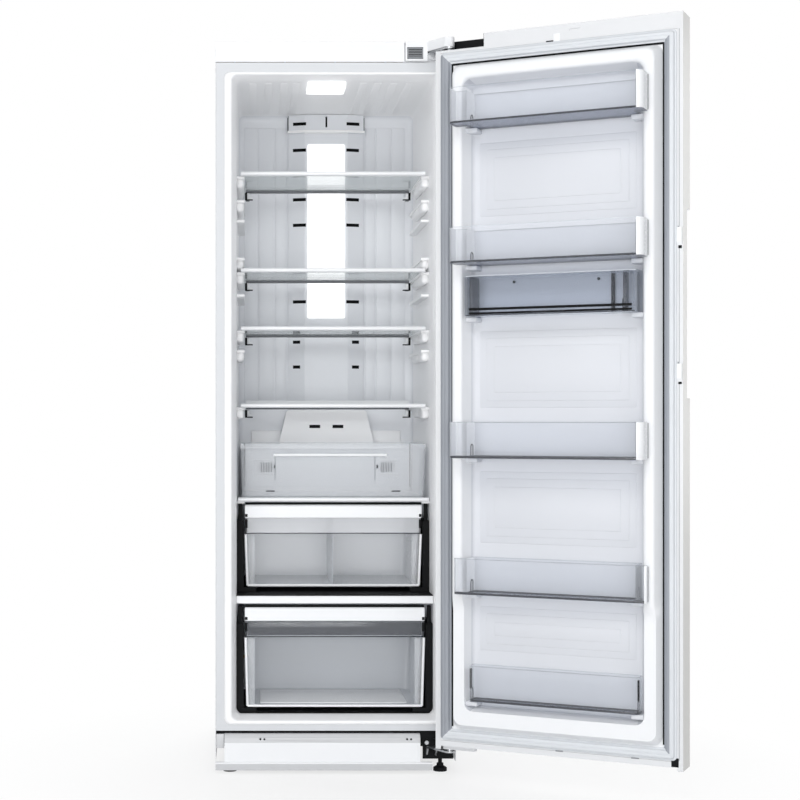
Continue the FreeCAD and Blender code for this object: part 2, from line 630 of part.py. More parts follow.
def shelf_trim(top, front, back, half, hooks):
    low = top - TRIM_H
    under = top - 8
    over = under + GLASS_T
    nose = side_prism([(front, low + 3), (front, top - 3), (front + 3, top), (front + 20, top),
                       (front + 20, over), (front + 8, over), (front + 8, under), (front + 20, under),
                       (front + 20, low), (front + 3, low)], -half, half)
    rear_half = LEDGE_IN - 3
    foot = under - 4
    rear = side_prism([(back - 18, under), (back - 18, foot), (back, foot), (back, top + 12),
                       (back - 5, top + 12), (back - 5, top), (back - 18, top), (back - 18, over),
                       (back - 8, over), (back - 8, under)], -rear_half, rear_half)
    parts = [nose, rear]
    if hooks:
        hook = side_prism([(back - 12, foot + 1), (back, foot + 1), (back, foot - 22), (back - 30, foot - 22),
                           (back - 30, foot - 16), (back - 12, foot - 16)], rear_half - 10, rear_half)
        parts[1] = fuse([rear, hook, mirrored(hook)])
    return Part.makeCompound(parts)


def lower_crisper_cover():
    front = CRISPER_2["front"]
    back = ROOM_BACK - 64
    under = RAIL_HIGH - 8
    plate = side_prism([(front, RAIL_LOW), (front, RAIL_HIGH - 2), (front + 2, RAIL_HIGH), (back, RAIL_HIGH),
                        (back, under), (front + 18, under), (front + 18, RAIL_LOW)], -HALF, HALF)
    return plate.common(room_inside)


def drawer_guides():
    """A dark tray for each crisper: a floor sheet, side walls with a front edge, and the runners."""
    guides = []
    for spec in (CRISPER_1, CRISPER_2):
        low = spec["bed"]
        high = spec["rim"] - 8
        front = spec["front"] + 8
        back = spec["back"] + 3
        outside = ROOM_HALF + 2
        floor = slab(-outside, outside, spec["sill"], back, low, low + 2)
        runners = pair(RUNNER_IN, outside, front, back, low, spec["low"] - SEAT_GAP)
        walls = pair(CRISPER_HALF + 15, outside, front, back, low, high)
        edges = pair(CRISPER_HALF + 4, outside, front, front + 2.5, low, high)
        tray = fuse([floor] + runners + walls + edges)
        guides.append(tray.common(room_inside).Solids[0])
    return Part.makeCompound(guides)


def tub(low, high, half_low, half_high, low_y, high_y, wall, r):
    outer = loft([plan_wire(low, half_low, low_y[0], low_y[1], r),
                  plan_wire(high, half_high, high_y[0], high_y[1], r)])
    inner = loft([plan_wire(low + wall, half_low - wall, low_y[0] + wall, low_y[1] - wall, r - wall),
                  plan_wire(high + 0.01, half_high - wall, high_y[0] + wall, high_y[1] - wall, r - wall)])
    return outer, inner


def chiller_drawer():
    half = CHILLER_HALF
    outer, inner = tub(CHILLER_LOW, CHILLER_HIGH, half - 4, half, (SHELF_FRONT + 6, SHELF_BACK - 8),
                       (SHELF_FRONT, SHELF_BACK - 2), BOX_WALL, 14)
    rim = slab(-half, half, SHELF_FRONT - 6, SHELF_FRONT + 1, CHILLER_HIGH - 12, CHILLER_HIGH)
    return fuse([outer.cut(inner), rim.cut(inner)])


def crisper_tub(spec):
    front = spec["front"] + 20
    return tub(spec["low"], spec["rim"], CRISPER_HALF - 10, CRISPER_HALF, (front + 6, spec["back"] - 6),
               (front, spec["back"]), BOX_WALL, 14)


def crisper_box(spec):
    outer, inner = crisper_tub(spec)
    front = spec["front"]
    rim = spec["rim"]
    lip = side_prism([(front, rim - LIP_H), (front, rim), (front + 22, rim), (front + 22, rim - 3),
                      (front + 3, rim - 3), (front + 3, rim - LIP_H)], -CRISPER_HALF + 2, CRISPER_HALF - 2)
    return fuse([outer.cut(inner), lip.cut(inner)])


def crisper_handle(spec):
    front = spec["front"]
    low = spec["rim"]
    high = low + HANDLE_H
    return side_prism([(front, low), (front, high - 4), (front + 4, high), (front + 24, high),
                       (front + 24, high - 5), (front + 10, high - 5), (front + 10, low)],
                      -CRISPER_HALF - 1, CRISPER_HALF + 1)


def crisper_divider():
    inner = crisper_tub(CRISPER_1)[1]
    sheet = slab(-1.2, 1.2, CRISPER_1["front"], ROOM_BACK, RAIL_HIGH, CRISPER_1["rim"] - 6)
    return sheet.common(inner)


# Door pieces, drawn shut
def grip_recess():
    return slab(-HALF - 1, -HALF + GRIP_W, DOOR_SKIN - 1, AXIS_Y, GRIP_LOW, GRIP_HIGH)


def hinge_pocket():
    return slab(POCKET_LEFT, HALF + 1, AXIS_Y - 17, DOOR_FACE + 1, POCKET_FLOOR, DOOR_HIGH + 1)


def door_skin():
    outer = slab(-HALF, HALF, DOOR_SKIN, DOOR_FACE, DOOR_LOW, DOOR_HIGH)
    inner = slab(-HALF + 1, HALF - 1, DOOR_SKIN + 1, DOOR_FACE - 1, DOOR_LOW - 1, DOOR_HIGH + 1)
    way = slab(-HALF + FLANGE_W, HALF - FLANGE_W, DOOR_FACE - 2, DOOR_FACE + 1, DOOR_LOW - 1, DOOR_HIGH + 1)
    return cut(outer, [inner, way, grip_recess(), hinge_pocket()])


def door_liner():
    """The inner face of the door: a slab, a raised rim round a sunk field, and lugs for the baskets."""
    base = slab(-HALF + FLANGE_W, HALF - FLANGE_W, SLAB_BACK, DOOR_FACE, LINER_LOW, LINER_HIGH)
    rim = loft([front_wire(DOOR_FACE - 1, MOUTH_HALF - 6, MOUTH_LOW + 1, MOUTH_HIGH + 1, 22),
                front_wire(RIM_CREST, CREST_HALF, CREST_LOW, CREST_HIGH, 20)])
    field = loft([front_wire(RECESS_FLOOR, FIELD_HALF, FIELD_LOW, FIELD_HIGH, 16),
                  front_wire(RIM_CREST + 0.01, FIELD_HALF + 11, FIELD_LOW - 12, FIELD_HIGH + 12, 22)])
    low_rim = slab(-HALF, HALF, RIM_CREST_LOW, RIM_CREST + 1, LINER_LOW, RIM_STEP_Z)
    lugs = []
    for floor in [basket[0] for basket in BASKETS] + [DAIRY_LOW]:
        top = floor - SEAT_GAP
        lug = side_prism([(RECESS_FLOOR - 1, top), (12, top), (12, top - 4), (RECESS_FLOOR - 1, top - 16)],
                         FIELD_HALF - 22, FIELD_HALF + 8)
        lugs += [lug, mirrored(lug)]
    return fuse([cut(fuse([base, rim]), [field, low_rim])] + lugs)


def door_cap_top():
    head = slab(-HALF + 1, HALF - 1, DOOR_SKIN + 1, DOOR_FACE - 1, LINER_HIGH + 1, DOOR_HIGH)
    face = slab(-HALF + FLANGE_W, HALF - FLANGE_W, DOOR_FACE - 1, DOOR_FACE, LINER_HIGH + 0.5, DOOR_HIGH)
    root = slab(-HALF + 1, HALF - 1, DOOR_SKIN + 1, SLAB_BACK, DOOR_HIGH - CAP_DEPTH, LINER_HIGH + 1)
    bore = rod(AXIS_X, AXIS_Y, DOOR_HIGH - CAP_DEPTH - 1, V(0, 0, 1), 9, 40)
    slot = slab(-60, -34, DOOR_FACE - 2, DOOR_FACE + 1, DOOR_HIGH - 17, DOOR_HIGH - 13)
    return cut(fuse([head, face, root]), [hinge_pocket(), bore, slot])


def door_cap_bottom():
    low = DOOR_LOW + 8
    foot = slab(-HALF + 1, HALF - 1, DOOR_SKIN + 1, DOOR_FACE - 1, low, LINER_LOW - 1)
    face = slab(-HALF + FLANGE_W, HALF - FLANGE_W, DOOR_FACE - 1, DOOR_FACE, low, LINER_LOW - 0.5)
    root = slab(-HALF + 1, HALF - 1, DOOR_SKIN + 1, SLAB_BACK, LINER_LOW - 1, low + 32)
    stop = plan_prism([(AXIS_X + 14, AXIS_Y - 16), (AXIS_X + 14, AXIS_Y + 16), (AXIS_X - 70.5, AXIS_Y + 16),
                       (AXIS_X - 70.5, AXIS_Y - 2), (AXIS_X - 20, AXIS_Y - 16)], DOOR_LOW - 4, low,
                      [8, 8, 4, 4, 4])
    bore = rod(AXIS_X, AXIS_Y, DOOR_LOW - 12, V(0, 0, 1), 9, 60)
    corner = slab(-HALF - 1, -HALF + 24, DOOR_FACE - 8, DOOR_FACE + 1, low - 1, low + 8)
    return cut(fuse([foot, face, root, stop]), [bore, corner])


def door_insulation():
    core = slab(-HALF + 1, HALF - 1, DOOR_SKIN + 1, DOOR_FACE - 1, LINER_LOW - 1, LINER_HIGH + 1)
    behind_liner = slab(-HALF + FLANGE_W, HALF - FLANGE_W, SLAB_BACK, 0, DOOR_LOW, DOOR_HIGH)
    pin_way = rod(AXIS_X, AXIS_Y, DOOR_LOW, V(0, 0, 1), 9, DOOR_HIGH - DOOR_LOW)
    return cut(core, [behind_liner, door_cap_top(), door_cap_bottom(), pin_way, grip_recess()])


def hinge_bushes():
    bushes = []
    for low, high in ((DOOR_HIGH - CAP_DEPTH, POCKET_FLOOR), (DOOR_LOW - 4, DOOR_LOW + 40)):
        sleeve = rod(AXIS_X, AXIS_Y, low, V(0, 0, 1), 9, high - low)
        bushes.append(sleeve.cut(rod(AXIS_X, AXIS_Y, low - 1, V(0, 0, 1), PIN_R + RUN_GAP, high - low + 2)))
    return Part.makeCompound(bushes)


def door_gasket():
    def ring(inset, width, y0, y1):
        hole = inset + width
        outer = front_wire(y0, GASKET_OUT - inset, GASKET_LOW + inset, GASKET_HIGH - inset, 10)
        inner = front_wire(y0, GASKET_OUT - hole, GASKET_LOW + hole, GASKET_HIGH - hole, 4)
        solid = Part.Face(outer).extrude(V(0, y1 - y0, 0))
        return solid.cut(Part.Face(inner).extrude(V(0, y1 - y0, 0)))
    return fuse([ring(0, GASKET_W, DOOR_FACE, -8.5), ring(4, GASKET_W - 8, -8.5, -GASKET_GAP)])


def grip_insert():
    """A moulded channel for the fingers in the door's free edge, and two clips on the inner flange."""
    block = slab(-HALF, -HALF + GRIP_W, DOOR_SKIN, AXIS_Y, GRIP_LOW, GRIP_HIGH)
    inner_x = -HALF + GRIP_W - GRIP_WALL
    inner_y = AXIS_Y - GRIP_WALL
    channel = plan_prism([(-HALF - 1, DOOR_SKIN - 1), (inner_x, DOOR_SKIN - 1), (inner_x, inner_y),
                          (-HALF - 1, inner_y)], GRIP_LOW + GRIP_WALL, GRIP_HIGH - GRIP_WALL, [0, 0, 12, 0])
    clips = []
    proud = DOOR_FACE + 7
    for z in (GRIP_LOW + 37, GRIP_HIGH - 92):
        clips.append(side_prism([(DOOR_FACE, z), (DOOR_FACE, z + 43), (proud, z + 43), (proud, z + 10)],
                                -HALF + 2, -HALF + FLANGE_W - 0.5))
    return Part.makeCompound([block.cut(channel)] + clips)


def basket_plan(half_rear, half_front, rear, front, shoulder, grow):
    if half_front is None:
        points = [(-half_rear + grow, rear + grow), (half_rear - grow, rear + grow),
                  (half_rear - grow, front - grow), (-half_rear + grow, front - grow)]
        radii = [5, 5, 10 - grow, 10 - grow]
    else:
        points = [(-half_rear + grow, rear + grow), (half_rear - grow, rear + grow),
                  (half_rear - grow, shoulder + grow), (half_front - grow, shoulder + grow),
                  (half_front - grow, front - grow), (-half_front + grow, front - grow),
                  (-half_front + grow, shoulder + grow), (-half_rear + grow, shoulder + grow)]
        corner = 6 if front - shoulder < 25 else 16
        radii = [5, 5, 0, 4, corner - grow, corner - grow, 4, 0]
    return points, radii


def door_basket(floor, front, wide):
    half_front = BASKET_FRONT_HALF if wide else None
    points, radii = basket_plan(BASKET_REAR_HALF, half_front, BASKET_REAR, front, RIM_CREST + 4, 0)
    outer = plan_prism(points, floor, floor + BASKET_H, radii)
    points, radii = basket_plan(BASKET_REAR_HALF, half_front, BASKET_REAR, front, RIM_CREST + 4, BASKET_T)
    inner = plan_prism(points, floor + BASKET_T, floor + BASKET_H + 1, radii)
    return outer.cut(inner)


def dairy_box():
    outer = slab(-DAIRY_HALF, DAIRY_HALF, BASKET_REAR, DAIRY_FRONT, DAIRY_LOW, DAIRY_HIGH)
    inner = slab(-DAIRY_HALF + 6, DAIRY_HALF - 6, BASKET_REAR + 2.5, DAIRY_FRONT + 1, DAIRY_LOW + 2.5,
                 DAIRY_HIGH - 2.5)
    pins = [rod(x, FLAP_Y, FLAP_Z, V(1, 0, 0), 2, 6) for x in (-DAIRY_HALF + 2, DAIRY_HALF - 8)]
    return fuse([outer.cut(inner)] + pins)


def dairy_flap():
    """The flap hangs inside the dairy box's mouth on two short pins at its upper corners."""
    half = DAIRY_HALF - 6.4
    plate = slab(-half, half, DAIRY_FRONT - 5.5, DAIRY_FRONT - 2.5, DAIRY_LOW + 3.2, DAIRY_HIGH - 9)
    barrel = rod(-half, FLAP_Y, FLAP_Z, V(1, 0, 0), 4.5, 2 * half)
    pull = slab(-40, 40, DAIRY_FRONT - 2.6, DAIRY_FRONT + 5, DAIRY_LOW + 6, DAIRY_LOW + 10)
    bores = [rod(x, FLAP_Y, FLAP_Z, V(1, 0, 0), 2 + RUN_GAP, 8) for x in (-half - 1, half - 7)]
    return cut(fuse([plate, barrel, pull]), bores)


def swung(shape):
    shape = shape.copy()
    shape.rotate(V(AXIS_X, AXIS_Y, 0), V(0, 0, 1), DOOR_OPEN_DEG)
    return shape


nodes = {
    "outer_panels": cabinet_panels(),
    "rear_panel": rear_panel(),
    "front_frame": front_frame(),
    "inner_liner": inner_liner(),
    "cabinet_insulation": cabinet_insulation(),
    "shelf_ledges": shelf_ledges(),
    "top_fascia": top_fascia(),
    "base_frame": base_frame(),
    "machine_bay": machine_bay(),
    "machine_cover": machine_cover(),
    "kickplate": kickplate(),
    "upper_hinge": upper_hinge(),
    "upper_hinge_cover": upper_hinge_cover(),
    "lower_hinge": lower_hinge(),
    "hinge_screws": hinge_screws(),
    "foot_left": levelling_foot(-FOOT_X),
    "foot_right": levelling_foot(FOOT_X),
    "roller_left": rear_roller(-ROLLER_X),
    "roller_right": rear_roller(ROLLER_X),
    "compressor": compressor(),
    "evaporator": evaporator(),
    "fan_motor": fan_motor(),
    "fan_rotor": fan_rotor(),
    "air_duct_cover": air_duct_cover(),
    "lamp_lenses": lamp_lenses(),
    "switch_housing": switch_housing(),
    "switch_plunger": switch_plunger(),
    "crisper_cover_trim": shelf_trim(COVER_TOP, COVER_FRONT, SHELF_BACK + 8, COVER_HALF, False),
    "crisper_cover_glass": glass_pane(COVER_TOP, COVER_FRONT, SHELF_BACK + 8, COVER_HALF),
    "lower_crisper_cover": lower_crisper_cover(),
    "drawer_guides": drawer_guides(),
    "chiller_drawer": chiller_drawer(),
    "upper_crisper_box": crisper_box(CRISPER_1),
    "upper_crisper_handle": crisper_handle(CRISPER_1),
    "upper_crisper_divider": crisper_divider(),
    "lower_crisper_box": crisper_box(CRISPER_2),
    "lower_crisper_handle": crisper_handle(CRISPER_2),
}
for number, top in enumerate(SHELF_TOPS, 1):
    nodes["shelf_trim_%d" % number] = shelf_trim(top, SHELF_FRONT, SHELF_BACK, SHELF_HALF, True)
    nodes["shelf_glass_%d" % number] = glass_pane(top, SHELF_FRONT, SHELF_BACK, SHELF_HALF)

door_nodes = {
    "door_skin": door_skin(),
    "door_liner": door_liner(),
    "door_insulation": door_insulation(),
    "door_top_cap": door_cap_top(),
    "door_bottom_cap": door_cap_bottom(),
    "door_gasket": door_gasket(),
    "grip_insert": grip_insert(),
    "hinge_bushes": hinge_bushes(),
    "dairy_box": dairy_box(),
    "dairy_flap": dairy_flap(),
}
for number, (floor, front, wide) in enumerate(BASKETS, 1):
    door_nodes["door_basket_%d" % number] = door_basket(floor, front, wide)
for name, shape in door_nodes.items():
    nodes[name] = swung(shape)

os.makedirs("parts", exist_ok=True)
for name, shape in nodes.items():
    shape.exportStep("parts/%s.step" % name)
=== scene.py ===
"""Looks of the open larder refrigerator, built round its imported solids.

Sizes are written in millimetres in the part's frame and turned into metres when a mesh is made.
Door pieces are drawn shut and swung to the open rest position.
"""
import math
import bmesh
import bpy
from mathutils import Matrix, Vector

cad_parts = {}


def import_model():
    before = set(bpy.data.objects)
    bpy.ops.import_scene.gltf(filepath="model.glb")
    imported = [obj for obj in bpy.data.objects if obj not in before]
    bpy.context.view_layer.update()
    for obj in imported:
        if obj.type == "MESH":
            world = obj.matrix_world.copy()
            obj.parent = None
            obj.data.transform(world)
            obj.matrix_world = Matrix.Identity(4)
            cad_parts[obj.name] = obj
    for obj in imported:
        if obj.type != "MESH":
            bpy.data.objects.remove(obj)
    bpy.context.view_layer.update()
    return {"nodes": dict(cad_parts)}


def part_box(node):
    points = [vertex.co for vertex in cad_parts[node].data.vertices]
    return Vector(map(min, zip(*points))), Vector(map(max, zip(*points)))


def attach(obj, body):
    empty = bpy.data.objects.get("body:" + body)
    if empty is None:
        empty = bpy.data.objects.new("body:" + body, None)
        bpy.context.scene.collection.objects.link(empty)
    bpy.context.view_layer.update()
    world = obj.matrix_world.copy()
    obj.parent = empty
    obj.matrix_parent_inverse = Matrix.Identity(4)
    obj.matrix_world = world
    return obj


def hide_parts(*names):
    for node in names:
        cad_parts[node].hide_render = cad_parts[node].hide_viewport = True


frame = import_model()
NODES = frame["nodes"]
scene = bpy.context.scene
scene.view_settings.view_transform = "Standard"
MM = 0.001
SIDES = (-1, 1)
SHELVES = (1, 2, 3, 4)
BASKETS = (1, 2, 3, 4, 5)
LOWEST_BASKET = 5


# Sizes read from the solids, in millimetres
def node_box(name):
    low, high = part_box(name)
    return [v / MM for v in low], [v / MM for v in high]


def heights(name):
    low, high = node_box(name)
    return low[2], high[2]


def numbered(stem, numbers):
    return ["%s_%d" % (stem, number) for number in numbers]


HALF, CAB_D, CAB_TOP = node_box("outer_panels")[1]
FRAME_LOW, FRAME_HIGH = heights("front_frame")
DOOR_LOW, DOOR_HIGH = heights("door_skin")
DAIRY_LOW, DAIRY_HIGH = heights("dairy_box")
KICK_LOW, KICK_HIGH = heights("kickplate")
COVER_TOP = heights("crisper_cover_glass")[1] + 4.0
BASKET_FLOORS = [heights(name)[0] for name in numbered("door_basket", BASKETS)]
BAY_FRONT = node_box("machine_bay")[0][1]
STEP_TOP = heights("machine_bay")[1] + 46.0
CRISPERS = {}
for crisper in ("upper_crisper", "lower_crisper"):
    crisper_low, crisper_high = node_box(crisper + "_box")
    CRISPERS[crisper] = {"front": crisper_low[1], "back": crisper_high[1], "low": crisper_low[2],
                         "rim": crisper_high[2], "half": crisper_high[0]}

# The cabinet liner's mouth and room
LAND_HALF = HALF - 22.0
LAND_LOW = FRAME_LOW + 16.0
LAND_HIGH = FRAME_HIGH - 24.0
MOUTH_HALF = LAND_HALF - 17.5
MOUTH_LOW = LAND_LOW + 9.0
MOUTH_HIGH = LAND_HIGH - 6.0
ROOM_HALF = MOUTH_HALF - 12.0
ROOM_LOW = MOUTH_LOW + 10.0
ROOM_HIGH = MOUTH_HIGH - 8.0
ROOM_BACK = CAB_D - 90.0

# The shut door's planes, rim, field, seal and baskets
AXIS_X = HALF - 22.0
AXIS_Y = -50.0
DOOR_OPEN_DEG = 153.0
DOOR_FACE = -12.0
FLANGE_W = 14.0
RECESS_FLOOR = -25.0
RIM_CREST = 30.0
RIM_CREST_LOW = 15.0
RIM_STEP_Z = BASKET_FLOORS[3] - 20.0
CREST_HALF = ROOM_HALF - 6.0
CREST_LOW = ROOM_LOW + 6.0
CREST_HIGH = ROOM_HIGH - 4.0
FIELD_HALF = CREST_HALF - 34.0
FIELD_LOW = CREST_LOW + 42.0
FIELD_HIGH = CREST_HIGH - 40.0
GASKET_HALF = HALF - FLANGE_W
GASKET_LOW = FRAME_LOW - 5.0
GASKET_HIGH = FRAME_HIGH + 3.0
BASKET_FRONTS = [90.0, 90.0, 90.0, 50.0, 17.0]
BASKET_H = 85.0
BASKET_REAR = RECESS_FLOOR + 2.5
BASKET_REAR_HALF = FIELD_HALF - 3.0
BASKET_FRONT_HALF = CREST_HALF - 11.0
DAIRY_FRONT = 45.0
LIP_H = 40.0

SWING = (Matrix.Translation((AXIS_X * MM, AXIS_Y * MM, 0))
         @ Matrix.Rotation(math.radians(DOOR_OPEN_DEG), 4, "Z")
         @ Matrix.Translation((-AXIS_X * MM, -AXIS_Y * MM, 0)))
UNSWING = SWING.inverted()


def shut_x(point):
    """Where a point of the open door, in millimetres, lies across the shut door."""
    return (UNSWING @ (point * MM)).x / MM


def shut_facing(normal):
    """How far a normal on the open door points across the shut door."""
    return (UNSWING.to_3x3() @ normal).x


# Materials
EVEN = (1, 1, 1)
WHITE = (1, 1, 1, 1)
NOISE_DETAIL = 2.0
NOISE_LOW = 0.3
NOISE_HIGH = 0.7
ROUGH_LOW = 0.82
ROUGH_HIGH = 1.18
BUMP_DEPTH = 0.0004
COAT_ROUGH = 0.08
EDGE_POWER = 3.5
# Sockets of the colour mix node, which has others of the same names
MIX_SHARE = 0
MIX_DARK = 6
MIX_LIGHT = 7
MIX_RESULT = 2


def srgb(r, g, b):
    """A colour from 0 to 255 as linear light."""
    out = []
    for value in (r, g, b):
        c = value / 255.0
        out.append(c / 12.92 if c <= 0.04045 else ((c + 0.055) / 1.055) ** 2.4)
    return (out[0], out[1], out[2], 1.0)


def scaled(colour, k):
    return (min(colour[0] * k, 1.0), min(colour[1] * k, 1.0), min(colour[2] * k, 1.0), 1.0)


def new_material(name):
    material = bpy.data.materials.new(name)
    material.use_nodes = True
    tree = material.node_tree
    tree.nodes.clear()
    return material, tree, tree.nodes.new("ShaderNodeOutputMaterial")


def noise(tree, scale, stretch):
    coords = tree.nodes.new("ShaderNodeTexCoord")
    mapping = tree.nodes.new("ShaderNodeMapping")
    mapping.inputs["Scale"].default_value = stretch
    texture = tree.nodes.new("ShaderNodeTexNoise")
    texture.inputs["Scale"].default_value = scale
    texture.inputs["Detail"].default_value = NOISE_DETAIL
    tree.links.new(coords.outputs["Object"], mapping.inputs["Vector"])
    tree.links.new(mapping.outputs["Vector"], texture.inputs["Vector"])
    return texture.outputs["Fac"]


def ranged(tree, source, low, high):
    node = tree.nodes.new("ShaderNodeMapRange")
    node.inputs["From Min"].default_value = NOISE_LOW
    node.inputs["From Max"].default_value = NOISE_HIGH
    node.inputs["To Min"].default_value = low
    node.inputs["To Max"].default_value = high
    tree.links.new(source, node.inputs["Value"])
    return node.outputs["Result"]


def tinted(tree, source, dark, light):
    node = tree.nodes.new("ShaderNodeMix")
    node.data_type = "RGBA"
    node.inputs[MIX_DARK].default_value = dark
    node.inputs[MIX_LIGHT].default_value = light
    tree.links.new(source, node.inputs[MIX_SHARE])
    return node.outputs[MIX_RESULT]


def bumped(tree, source, strength):
    node = tree.nodes.new("ShaderNodeBump")
    node.inputs["Strength"].default_value = strength
    node.inputs["Distance"].default_value = BUMP_DEPTH
    tree.links.new(source, node.inputs["Height"])
    return node.outputs["Normal"]


def mixed(tree, out, share, first, second):
    """Two shaders mixed by a share, led to an output."""
    mix = tree.nodes.new("ShaderNodeMixShader")
    tree.links.new(share, mix.inputs["Fac"])
    tree.links.new(first, mix.inputs[1])
    tree.links.new(second, mix.inputs[2])
    tree.links.new(mix.outputs["Shader"], out.inputs["Surface"])


def principled(tree, colour, rough, shade, patch, grain, bump, stretch):
    """A shader whose colour, roughness and surface vary a little, as moulded and painted faces do."""
    bsdf = tree.nodes.new("ShaderNodeBsdfPrincipled")
    broad = noise(tree, patch, stretch)
    fine = noise(tree, grain, stretch)
    link = tree.links.new
    shades = tinted(tree, broad, scaled(colour, 1 - shade), scaled(colour, 1 + shade))
    link(shades, bsdf.inputs["Base Color"])
    link(ranged(tree, fine, rough * ROUGH_LOW, rough * ROUGH_HIGH), bsdf.inputs["Roughness"])
    link(bumped(tree, fine, bump), bsdf.inputs["Normal"])
    return bsdf


def opaque(name, colour, rough, shade=0.02, patch=5.0, grain=700.0, bump=0.05, metallic=0.0, coat=0.0,
           glow=0.0, stretch=EVEN, mirror=0.5):
    material, tree, out = new_material(name)
    bsdf = principled(tree, colour, rough, shade, patch, grain, bump, stretch)
    bsdf.inputs["Metallic"].default_value = metallic
    bsdf.inputs["Specular IOR Level"].default_value = mirror
    bsdf.inputs["Coat Weight"].default_value = coat
    bsdf.inputs["Coat Roughness"].default_value = COAT_ROUGH
    if glow:
        bsdf.inputs["Emission Color"].default_value = WHITE
        bsdf.inputs["Emission Strength"].default_value = glow
    tree.links.new(bsdf.outputs["BSDF"], out.inputs["Surface"])
    return material


def see_through(name, tint, body, face_on, edge_on, rough):
    """Clear plastic or glass: straight through face on, more mirror and haze towards its edges."""
    material, tree, out = new_material(name)
    bsdf = principled(tree, body, rough, shade=0.02, patch=6.0, grain=300.0, bump=0.03, stretch=EVEN)
    clear = tree.nodes.new("ShaderNodeBsdfTransparent")
    clear.inputs["Color"].default_value = (*tint, 1)
    facing = tree.nodes.new("ShaderNodeLayerWeight")
    facing.inputs["Blend"].default_value = 0.5
    power = tree.nodes.new("ShaderNodeMath")
    power.operation = "POWER"
    power.inputs[1].default_value = EDGE_POWER
    share = tree.nodes.new("ShaderNodeMapRange")
    share.inputs["To Min"].default_value = face_on
    share.inputs["To Max"].default_value = edge_on
    tree.links.new(facing.outputs["Facing"], power.inputs[0])
    tree.links.new(power.outputs[0], share.inputs["Value"])
    mixed(tree, out, share.outputs["Result"], clear.outputs["BSDF"], bsdf.outputs["BSDF"])
    return material


PALE = (0.985, 0.99, 0.997)
LOOKS = {
    "enamel": opaque("enamel", srgb(220, 221, 223), 0.42, coat=0.08, bump=0.04),
    # Painted highlight: a brighter copy of the trim white, for the duct head's lip and the lower crisper's
    # floor pad.
    "painted_highlight": opaque("painted_highlight_white", srgb(253, 253, 253), 0.4, grain=600.0, bump=0.03),
    # Painted shade: a darker copy of the door's white, for its free edge faces.
    "door_edge_painted_shade": opaque("door_edge_painted_shade", srgb(196, 195, 192), 0.4, coat=0.2, bump=0.04),
    # Painted shade: the front frame is the same white paint as the panels, made greyer.
    "frame": opaque("frame_enamel_painted_shade", srgb(210, 212, 215), 0.5, bump=0.04),
    "back": opaque("back_sheet", srgb(196, 199, 202), 0.45, shade=0.04, grain=260.0, bump=0.08),
    "zinc": opaque("zinc_steel", srgb(170, 173, 177), 0.4, shade=0.12, patch=60.0, grain=500.0,
                   metallic=1.0),
    "liner": opaque("cabinet_liner", srgb(249, 249, 250), 0.36, grain=520.0),
    # Painted shade: the back wall, its strips and the duct cover are the liner's white moulding, made
    # greyer.
    "back_wall_painted_shade": opaque("back_wall_painted_shade", srgb(232, 234, 238), 0.4, grain=520.0),
    # Painted shade: the door liner's sunk field, lugs and pads are darker than its rim, which takes the trim
    # white.
    "door_liner": opaque("door_liner", srgb(212, 214, 219), 0.4, grain=520.0),
    "trim": opaque("white_trim", srgb(236, 237, 239), 0.42, grain=600.0, bump=0.03),
    "foam": opaque("foam", srgb(226, 204, 150), 0.9, shade=0.08, patch=40.0, grain=300.0, bump=0.4),
    "hinge": opaque("hinge_steel", srgb(176, 178, 181), 0.3, shade=0.08, patch=30.0, grain=240.0,
                    bump=0.08, metallic=1.0, stretch=(1, 6, 1)),
    # Besides dark plastic parts, this serves as painted shade: black round the drawers and beside the
    # crispers, inside the duct, at the seal's root, on the base's front, above the crisper handles and at
    # the shelf hooks.
    "dark": opaque("dark_plastic", srgb(14, 15, 17), 0.6, shade=0.1, grain=800.0, bump=0.15, mirror=0.12),
    # Painted shade: grey for the rear of the shelves' trims and the gap round the duct's head.
    "painted_shade_grey": opaque("painted_shade_grey_plastic", srgb(96, 99, 104), 0.45, shade=0.05, bump=0.08),
    # Painted shade: a greyer copy of the kickplate's white, for its top, foot and cheek.
    "kick_painted_shade": opaque("kick_painted_shade", srgb(204, 205, 207), 0.36),
    # Painted light: a paler copy of the seal's grey, for its top and bottom runs and the outer half of its
    # free side.
    "seal_painted_light": opaque("seal_painted_light", srgb(214, 217, 221), 0.55, shade=0.03, patch=9.0, grain=900.0,
                         bump=0.12),
    "grey": opaque("grey_plastic", srgb(138, 141, 145), 0.42, shade=0.05, bump=0.1),
    "black": opaque("compressor_paint", srgb(16, 16, 18), 0.34, shade=0.1, grain=500.0, bump=0.1, coat=0.2),
    "coil": opaque("coil_aluminium", srgb(190, 193, 196), 0.38, shade=0.06, grain=300.0, metallic=1.0),
    "lamp": opaque("lamp_lens", srgb(252, 252, 252), 0.3, shade=0.005, grain=500.0, bump=0.02, glow=0.65),
    "seal": opaque("seal_rubber", srgb(152, 156, 163), 0.55, shade=0.03, patch=9.0, grain=900.0,
                   bump=0.12),
}
